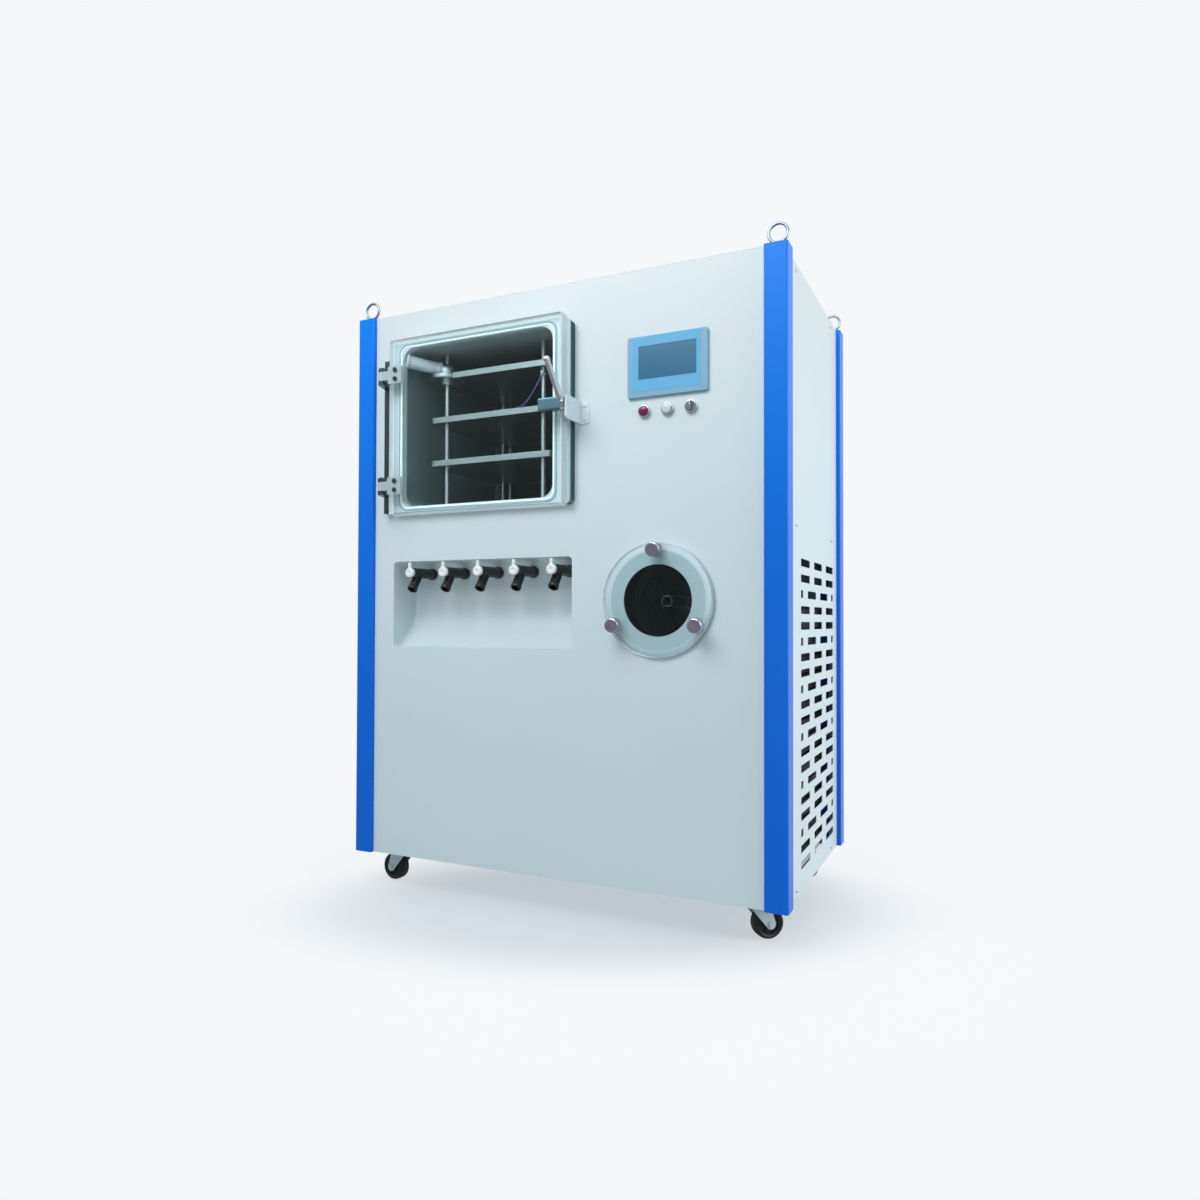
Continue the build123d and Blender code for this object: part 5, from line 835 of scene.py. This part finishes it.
def pressed_sheet(width, height, corner, thick, edge, place, hole=None, band=None):
    """A sheet in mm; hole is (left, right, low, high) to cut out, band leaves a ring that wide."""
    work = bmesh.new()
    bmesh.ops.create_grid(work, x_segments=1, y_segments=1, size=0.5)
    bmesh.ops.scale(work, vec=(width * MM, height * MM, 1.0), verts=work.verts[:])
    bmesh.ops.bevel(
        work,
        geom=work.verts[:],
        affect="VERTICES",
        offset=corner * MM * (2 - math.sqrt(2)),
        segments=8,
        profile=0.5,
        material=-1,
    )
    if band:
        middle = work.faces[:]
        bmesh.ops.inset_region(
            work, faces=middle, thickness=band * MM, use_even_offset=True, use_boundary=True
        )
        bmesh.ops.delete(work, geom=middle, context="FACES")
    if hole:
        left, right, low, high = (v * MM for v in hole)
        for spot, way in (
            ((left, 0, 0), (1, 0, 0)),
            ((right, 0, 0), (1, 0, 0)),
            ((0, low, 0), (0, 1, 0)),
            ((0, high, 0), (0, 1, 0)),
        ):
            everything = work.verts[:] + work.edges[:] + work.faces[:]
            bmesh.ops.bisect_plane(work, geom=everything, plane_co=spot, plane_no=way)
        inner = []
        for face in work.faces:
            middle = face.calc_center_median()
            if left < middle.x < right and low < middle.y < high:
                inner.append(face)
        bmesh.ops.delete(work, geom=inner, context="FACES")
    raise_sheet(work, thick, edge)
    bmesh.ops.transform(work, matrix=place, verts=work.verts[:])
    return work


CALMING_ROUNDS = 3


def finish_piece(name, works, body, finish, skin_mm=None, sharp_deg=35.0):
    """Joins drawings into one piece; skin_mm melts them into one moulded skin of that fineness."""
    whole = bmesh.new()
    for work in works:
        part = bpy.data.meshes.new("drawing")
        work.to_mesh(part)
        work.free()
        whole.from_mesh(part)
        bpy.data.meshes.remove(part)
    mesh = bpy.data.meshes.new(name)
    whole.to_mesh(mesh)
    whole.free()
    piece = bpy.data.objects.new(name, mesh)
    bpy.context.scene.collection.objects.link(piece)
    if skin_mm:
        skin = piece.modifiers.new("one_skin", "REMESH")
        skin.mode = "VOXEL"
        skin.voxel_size = skin_mm * MM
        bpy.context.view_layer.update()
        melted = piece.evaluated_get(bpy.context.evaluated_depsgraph_get())
        piece.data = bpy.data.meshes.new_from_object(melted)
        piece.modifiers.clear()
        calm = bmesh.new()
        calm.from_mesh(piece.data)
        for _ in range(CALMING_ROUNDS):
            bmesh.ops.smooth_vert(
                calm,
                verts=calm.verts[:],
                factor=0.5,
                use_axis_x=True,
                use_axis_y=True,
                use_axis_z=True,
            )
        calm.to_mesh(piece.data)
        calm.free()
    piece.data.shade_smooth()
    if not skin_mm:
        piece.data.set_sharp_from_angle(angle=math.radians(sharp_deg))
    piece.data.materials.clear()
    piece.data.materials.append(FINISHES[finish])
    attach(piece, body)
    print(name, len(piece.data.polygons), "faces")
    return piece


JOINTS = {joint["name"]: joint for joint in frame["joints"]}
print("joints:", len(JOINTS))

# %% [markdown]
# ## The door seal
#
# The door closes on a silicone seal that sits on the chamber's flange.  Two rings, one inside the
# other, with rounded rims show it: a pale lip along the opening that the door squeezes, and an
# outer ring whose grey is painted shade, for the dark gap between the seal and the door's edge.

# %% Door seal
seal_low, seal_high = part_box("door_gasket")
seal_size = (seal_high - seal_low) / MM
seal_place = facing_front(
    (seal_low.x + seal_high.x) / 2, seal_high.y, (seal_low.z + seal_high.z) / 2
)
SEAL_CORNER, SEAL_ROUND = 47.0, 1.0
FOOT_BAND, LIP_BAND = 5.6, 4.4
# The outer ring, in a grey that is painted shade for the gap round the seal.
foot = pressed_sheet(
    seal_size.x, seal_size.z, SEAL_CORNER, seal_size.y, SEAL_ROUND, seal_place, band=FOOT_BAND
)
lip = pressed_sheet(
    seal_size.x - 2 * FOOT_BAND,
    seal_size.z - 2 * FOOT_BAND,
    SEAL_CORNER - FOOT_BAND,
    seal_size.y,
    SEAL_ROUND,
    seal_place,
    band=LIP_BAND,
)
door_seal = finish_piece("door_seal", [foot], "cabinet", "seal_gap_shade")
finish_piece("door_seal_lip", [lip], "cabinet", "silicone")
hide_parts("door_gasket")

# %% [markdown]
# ## The bush's arm
#
# A short steel arm runs from the chamber's left wall, just inside its mouth, to the domed bush at
# the top of the guide rod.  It is a straight pipe with a collar at each end, so half its silhouette
# is spun about its own axis, and the axis is laid from the wall to the dome.

# %% Bush arm
ARM_Z, BUSH_Z = 1.4530, 1.4380
INTO_WALL, INTO_CHAMBER, INTO_DOME = 2 * MM, 16 * MM, 10 * MM
WALL_END = Vector((CHAMBER_LOW.x + FLANGE_SIDE - INTO_WALL, CHAMBER_LOW.y + INTO_CHAMBER, ARM_Z))
rods_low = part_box("shelf_rods")[0]
BUSH_R, DOME_R = 48.0 * MM, 26.0 * MM
dome_axis = Vector((rods_low.x + BUSH_R, rods_low.y + BUSH_R, BUSH_Z))
along_arm = dome_axis - WALL_END
arm_length = (along_arm.length - DOME_R + INTO_DOME) / MM
ARM_PROFILE = [
    (0.0, 0.0),
    (22.0, 0.0),
    (22.0, 7.0),
    (18.5, 9.0),
    (16.5, arm_length - 12.0),
    (19.0, arm_length - 10.0),
    (19.0, arm_length),
    (0.0, arm_length),
]
arm_place = Matrix.Translation(WALL_END) @ along_arm.to_track_quat("Z", "Y").to_matrix().to_4x4()
finish_piece(
    "bush_arm",
    [turned(ARM_PROFILE, arm_place, soft_mm=1.0)],
    "cabinet",
    "satin_stainless",
)

# %% [markdown]
# ## The sample valves
#
# Each valve is one rubber moulding: a straight body that grips a steel stub, and a slanting branch
# with a bead where a flask hose pushes on.  The mould leaves a soft fillet where the two meet.  So
# both are turned, laid into each other and melted into one skin.  A fine voxel remesh does that,
# and a few rounds of smoothing take away its steps.

# %% Rubber valve bodies
VALVE_JOINTS = [JOINTS[f"valve_turn_{number}"] for number in range(1, 6)]
valve_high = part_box("valve_bodies")[1]
BODY_LENGTH = (valve_high.y - VALVE_JOINTS[0]["pos_m"][1]) / MM
BODY_PROFILE = [
    (0.0, -24.0),
    (6.4, -24.0),
    (6.4, -0.4),
    (12.8, -0.4),
    (14.2, -1.6),
    (14.2, 14.6 - BODY_LENGTH),
    (16.2, 12.6 - BODY_LENGTH),
    (16.2, 1.2 - BODY_LENGTH),
    (15.2, 0.3 - BODY_LENGTH),
    (11.4, 0.3 - BODY_LENGTH),
    (11.4, -57.0),
    (0.0, -57.0),
]
BRANCH_LEAN = math.radians(35.0)
BRANCH_IN = 36.0
BRANCH_PROFILE = [
    (0.0, 0.0),
    (12.8, 0.0),
    (12.8, 48.0),
    (14.2, 50.0),
    (14.2, 56.6),
    (13.2, 57.8),
    (9.9, 57.8),
    (9.9, 33.0),
    (0.0, 33.0),
]
valve_drawings = []
for joint in VALVE_JOINTS:
    x, y, z = joint["pos_m"]
    valve_drawings.append(turned(BODY_PROFILE, facing_front(x, y, z)))
    down = Matrix.Rotation(math.pi - BRANCH_LEAN, 4, "X")
    root = Matrix.Translation((x, y + BRANCH_IN * MM, z))
    valve_drawings.append(turned(BRANCH_PROFILE, root @ down))
valve_rubber = finish_piece(
    "valve_rubber", valve_drawings, "cabinet", "black_rubber", skin_mm=1.3
)
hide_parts("valve_bodies")

# %% [markdown]
# ## The valve knobs
#
# A white knob turns in the front of each valve.  It is a thick round disc with a dimple in its
# middle, a narrow pointer tab that stands up when the valve is shut, and a stem.  It is melted
# together in the same way, at a finer step, because a hand's width away its edges still look round.

# %% Valve knobs
KNOB_PROFILE = [
    (0.0, -22.0),
    (5.6, -22.0),
    (5.6, 0.4),
    (12.4, 0.4),
    (13.4, 1.6),
    (13.4, 9.4),
    (12.6, 11.0),
    (11.0, 11.9),
    (4.2, 11.9),
    (3.4, 10.6),
    (0.0, 10.2),
]
TAB_WIDTH, TAB_LENGTH, TAB_THICK = 8.4, 27.6, 7.2
TAB_CORNER, TAB_ROUND = 4.0, 1.6
TAB_UP, TAB_OUT = 13.8 * MM, 2.9 * MM
for number, joint in enumerate(VALVE_JOINTS, 1):
    x, y, z = joint["pos_m"]
    face = facing_front(x, y, z)
    tab_place = face @ Matrix.Translation((0, TAB_UP, TAB_OUT))
    tab = pressed_sheet(TAB_WIDTH, TAB_LENGTH, TAB_CORNER, TAB_THICK, TAB_ROUND, tab_place)
    knob = finish_piece(
        f"knob_{number}",
        [turned(KNOB_PROFILE, face), tab],
        f"valve_knob_{number}",
        "white_plastic",
        skin_mm=0.6,
    )
    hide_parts(f"valve_knob_{number}")

# %% [markdown]
# ## The touch panel's face
#
# A pale moulded frame carries a sky-blue printed film, and the film leaves the display glass free.
# Film and glass are separate thin sheets that lie on the frame's face.

# %% Film and display glass
panel_low, panel_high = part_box("touch_panel")
panel_x, panel_z = (panel_low.x + panel_high.x) / 2, (panel_low.z + panel_high.z) / 2
FILM_W, FILM_H, FILM_CORNER, FILM_THICK = 173.0, 132.0, 3.0, 0.35
FILM_SHIFT_X, FILM_SHIFT_Z = -2.5, 6.0
SCREEN_W, SCREEN_H, SCREEN_GAP = 146.0, 81.0, 0.4
SCREEN_SHIFT_X, SCREEN_SHIFT_Z = 0.4, 9.5
GLASS_CORNER, GLASS_THICK, GLASS_ROUND = 0.8, 0.25, 0.1


def on_panel(shift_x, shift_z):
    """A place on the frame's face, so many mm from its middle."""
    return facing_front(panel_x + shift_x * MM, panel_low.y, panel_z + shift_z * MM)


across, up = SCREEN_SHIFT_X - FILM_SHIFT_X, SCREEN_SHIFT_Z - FILM_SHIFT_Z
screen_in_film = (
    across - SCREEN_W / 2,
    across + SCREEN_W / 2,
    up - SCREEN_H / 2,
    up + SCREEN_H / 2,
)
film = pressed_sheet(
    FILM_W,
    FILM_H,
    FILM_CORNER,
    FILM_THICK,
    0.0,
    on_panel(FILM_SHIFT_X, FILM_SHIFT_Z),
    hole=screen_in_film,
)
glass = pressed_sheet(
    SCREEN_W - SCREEN_GAP,
    SCREEN_H - SCREEN_GAP,
    GLASS_CORNER,
    GLASS_THICK,
    GLASS_ROUND,
    on_panel(SCREEN_SHIFT_X, SCREEN_SHIFT_Z),
)
finish_piece("panel_film", [film], "cabinet", "membrane")
finish_piece("display_glass", [glass], "cabinet", "display")

# %% [markdown]
# ## Push caps and the key switch
#
# Each push button has a clear-tinted cap that bulges slightly, so a small highlight shows in it.
# The key switch has a white line that says where it points.

# %% Domed caps and pointer line
LENS_PROFILE = [
    (9.4, -0.2),
    (9.4, 0.2),
    (8.6, 0.7),
    (6.6, 1.2),
    (4.0, 1.55),
    (1.6, 1.7),
    (0.0, 1.72),
]
for colour in ("red", "green"):
    cap_low, cap_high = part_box(f"{colour}_button")
    middle = (cap_low + cap_high) / 2
    lens_drawing = turned(LENS_PROFILE, facing_front(middle.x, cap_low.y, middle.z), steps=40)
    finish_piece(
        f"{colour}_lens", [lens_drawing], f"{colour}_button", f"{colour}_cap"
    )
LINE_WIDTH, LINE_LENGTH, LINE_CORNER = 1.6, 8.0, 0.7
LINE_THICK, LINE_ROUND = 0.3, 0.1
LINE_SUNK, LINE_UP = 0.05 * MM, 5 * MM
key_low, key_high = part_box("key_switch")
key_middle = (key_low + key_high) / 2
line_place = facing_front(key_middle.x, key_low.y + LINE_SUNK, key_middle.z + LINE_UP)
line = pressed_sheet(LINE_WIDTH, LINE_LENGTH, LINE_CORNER, LINE_THICK, LINE_ROUND, line_place)
finish_piece("key_pointer", [line], "key_switch", "pointer")

# %% [markdown]
# ## Caster wheels
#
# Each wheel is a dark moulded hub with a rubber tyre shrunk onto it.  The tyre's tread is crowned,
# with rounded shoulders, and two fine grooves run round it.  The hub is dished, with six ribs that
# stiffen it.  Both are turned about the axle, and the ribs are small bars set round the hub.

# %% Tyres and hubs
TYRE_HALF = [(26.2, 13.6), (27.6, 15.4), (30.4, 16.8), (33.4, 16.2), (35.6, 13.9), (36.8, 10.4)]
GROOVE = [(37.1, 7.4), (36.3, 7.0), (36.3, 6.2), (37.3, 5.8)]
TREAD_MIDDLE = [(37.5, 0.0)]
HUB_HALF = [
    (4.15, 16.9),
    (9.2, 16.9),
    (9.7, 16.3),
    (9.9, 11.0),
    (22.6, 10.4),
    (23.6, 14.2),
    (26.0, 14.2),
]
RIBS = 6
RIB_SIZE = (14.0 * MM, 2.6 * MM, 27.0 * MM)
RIB_PLACE = (16.4 * MM, 0, 0)
RIB_ROUND = 0.5


def mirrored_ring(half, middle=()):
    """A closed silhouette: half of it, what lies on the middle, and the half's mirror image."""
    return half + list(middle) + [(r, -h) for r, h in reversed(half)] + half[:1]


TYRE_PROFILE = mirrored_ring(TYRE_HALF + GROOVE, TREAD_MIDDLE)
HUB_PROFILE = mirrored_ring(HUB_HALF)
for corner in CORNERS:
    wheel = f"caster_wheel_{corner}"
    roll = JOINTS[f"caster_roll_{corner}"]
    turn = Vector(roll["axis"]).to_track_quat("Z", "Y").to_matrix().to_4x4()
    axle = Matrix.Translation(roll["pos_m"]) @ turn
    tyre_drawing = turned(TYRE_PROFILE, axle, steps=72)
    hub_drawings = [turned(HUB_PROFILE, axle, steps=48)]
    for step in range(RIBS):
        rib = bmesh.new()
        bmesh.ops.create_cube(rib, size=1.0)
        bmesh.ops.scale(rib, vec=RIB_SIZE, verts=rib.verts[:])
        soften(rib, RIB_ROUND, segments=2)
        swing = Matrix.Rotation(step * math.tau / RIBS, 4, "Z") @ Matrix.Translation(RIB_PLACE)
        bmesh.ops.transform(rib, matrix=axle @ swing, verts=rib.verts[:])
        hub_drawings.append(rib)
    tyre = finish_piece(f"tyre_{corner}", [tyre_drawing], wheel, "black_tyre")
    finish_piece(f"hub_{corner}", hub_drawings, wheel, "grey_wheel")
    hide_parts(wheel)

# %% [markdown]
# ## The floor and the light
#
# The machine stands on a plain pale floor in an even white studio.  The floor is partly clear, more
# so with distance, and a metre and a half out nothing is left of it but the white backdrop, so no
# horizon shows.  What is left close by keeps the soft shadow under the cabinet, and the backdrop
# that shows through is tinted in a wide oval pool of shade about the machine.

# %% Floor
FLOOR_RADIUS, FLOOR_DROP = 3.0, 0.5 * MM
FADE_OVER, CLEAR_SHARES = (0.45, 1.5), (0.80, 1.0)
POOL_PLACE, POOL_TURN = (0.074, -0.148, 0.0), math.radians(28.2)
POOL_REACH, POOL_FADE = (0.847, 0.511, 1.0), (0.52, 1.13)


def plain_floor():
    """Pale floor that fades into the backdrop."""
    finish, tree, shader, place = new_finish("studio_floor", Roughness=0.95, Specular_IOR_Level=0.1)
    shader.inputs["Base Color"].default_value = to_linear("#EBEDEE")
    fade = ramp(tree, distance(tree, place), CLEAR_SHARES, FADE_OVER, "SMOOTHERSTEP")
    oval = add_node(
        tree,
        "ShaderNodeMapping",
        {
            "vector_type": "TEXTURE",
            "Location": POOL_PLACE,
            "Rotation": (0.0, 0.0, POOL_TURN),
            "Scale": POOL_REACH,
        },
        {"Vector": place},
    ).outputs["Vector"]
    pool = ramp(tree, distance(tree, oval), (1.0, 0.0), POOL_FADE, "SMOOTHSTEP")
    tint = two_tone(tree, pool, "#FFFFFF", "#D8E0E6")
    clear = add_node(tree, "ShaderNodeBsdfTransparent", None, {"Color": tint})
    blend = add_node(
        tree,
        "ShaderNodeMixShader",
        None,
        {0: fade, 1: shader.outputs["BSDF"], 2: clear.outputs["BSDF"]},
    )
    tree.links.new(blend.outputs[0], tree.nodes["Material Output"].inputs["Surface"])
    return finish


ground = bmesh.new()
bmesh.ops.create_circle(ground, cap_ends=True, segments=64, radius=FLOOR_RADIUS)
ground_mesh = bpy.data.meshes.new("studio_floor")
ground.to_mesh(ground_mesh)
ground.free()
studio_floor = bpy.data.objects.new("studio_floor", ground_mesh)
studio_floor.location = (0.0, 0.0, -FLOOR_DROP)
studio_floor.data.materials.append(plain_floor())
bpy.context.scene.collection.objects.link(studio_floor)
print("floor radius", FLOOR_RADIUS, "m")

# %% [markdown]
# A studio is bright above and dimmer low down, and that is what gives bright metal its shape.  So
# the light that falls on the machine is stronger from above, and mirrors see a backdrop that gets
# dimmer towards the front and the floor.  The camera, and whatever is seen through glass, meets the
# plain white backdrop.

# %% World
UP_AND_BACK = (0.0, 0.6, 0.8)
MIRRORED_SHARES, MIRRORED_OVER = (0.30, 1.0), (-0.45, 0.35)
FILL_SHARES, FILL_OVER = (0.35, 0.69), (-0.3, 0.9)

world = bpy.data.worlds.new("white_studio")
world.use_nodes = True
sky = world.node_tree
sky.nodes.clear()
rays = add_node(sky, "ShaderNodeLightPath").outputs
heading = add_node(sky, "ShaderNodeTexCoord").outputs["Generated"]
toward_back = add_node(
    sky, "ShaderNodeVectorMath", {"operation": "DOT_PRODUCT", 1: UP_AND_BACK}, {0: heading}
).outputs["Value"]
mirrored = ramp(sky, toward_back, MIRRORED_SHARES, MIRRORED_OVER)
straight = either(sky, rays["Is Camera Ray"], rays["Is Transmission Ray"])
strength = either(sky, mirrored, straight)
shows_backdrop = either(sky, straight, rays["Is Glossy Ray"])
fall = ramp(sky, split(sky, heading)["Z"], FILL_SHARES, FILL_OVER)
fill = add_node(
    sky, "ShaderNodeBackground", {"Color": to_linear("#EAF3F9")}, {"Strength": fall}
).outputs[0]
backdrop = add_node(
    sky, "ShaderNodeBackground", {"Color": to_linear("#F5F7F9")}, {"Strength": strength}
).outputs[0]
sides = {0: shows_backdrop, 1: fill, 2: backdrop}
surround = add_node(sky, "ShaderNodeMixShader", None, sides).outputs[0]
add_node(sky, "ShaderNodeOutputWorld", None, {"Surface": surround})
bpy.context.scene.world = world
print("world set")


# %% Lamps
def soft_box(name, place, aim, width, height, watts, mirrored_too=True):
    """A large white area lamp that points at aim; mirrored_too lets bright metal show it."""
    lamp = bpy.data.lights.new(name, "AREA")
    lamp.shape = "RECTANGLE"
    lamp.size, lamp.size_y = width, height
    lamp.energy = watts
    holder = bpy.data.objects.new(name, lamp)
    look = (Vector(aim) - Vector(place)).to_track_quat("-Z", "Y")
    holder.matrix_world = Matrix.LocRotScale(Vector(place), look, None)
    holder.visible_camera = False
    holder.visible_glossy = mirrored_too
    bpy.context.scene.collection.objects.link(holder)
    return holder


soft_box("key_above_front", (-0.3, -2.3, 3.0), (0.0, -0.3, 1.3), 2.2, 1.4, 57.0)
soft_box("side_right", (3.4, 0.0, 1.6), (0.6, 0.0, 0.8), 2.0, 2.2, 62.0)
soft_box("side_left", (-3.4, 0.4, 2.4), (-0.6, 0.1, 1.1), 2.0, 2.0, 36.0, mirrored_too=False)
soft_box("rear", (0.4, 3.6, 2.4), (0.0, 0.3, 1.1), 2.4, 1.8, 42.0, mirrored_too=False)
soft_box("low_front", (0.2, -3.2, 0.5), (-0.15, -0.3, 0.95), 1.8, 1.2, 6.3, mirrored_too=False)
print("lamps set")

# %% [markdown]
# ## Colours
#
# The Standard view shows a colour as it was written.

# %% Finish
bpy.context.scene.view_settings.view_transform = "Standard"
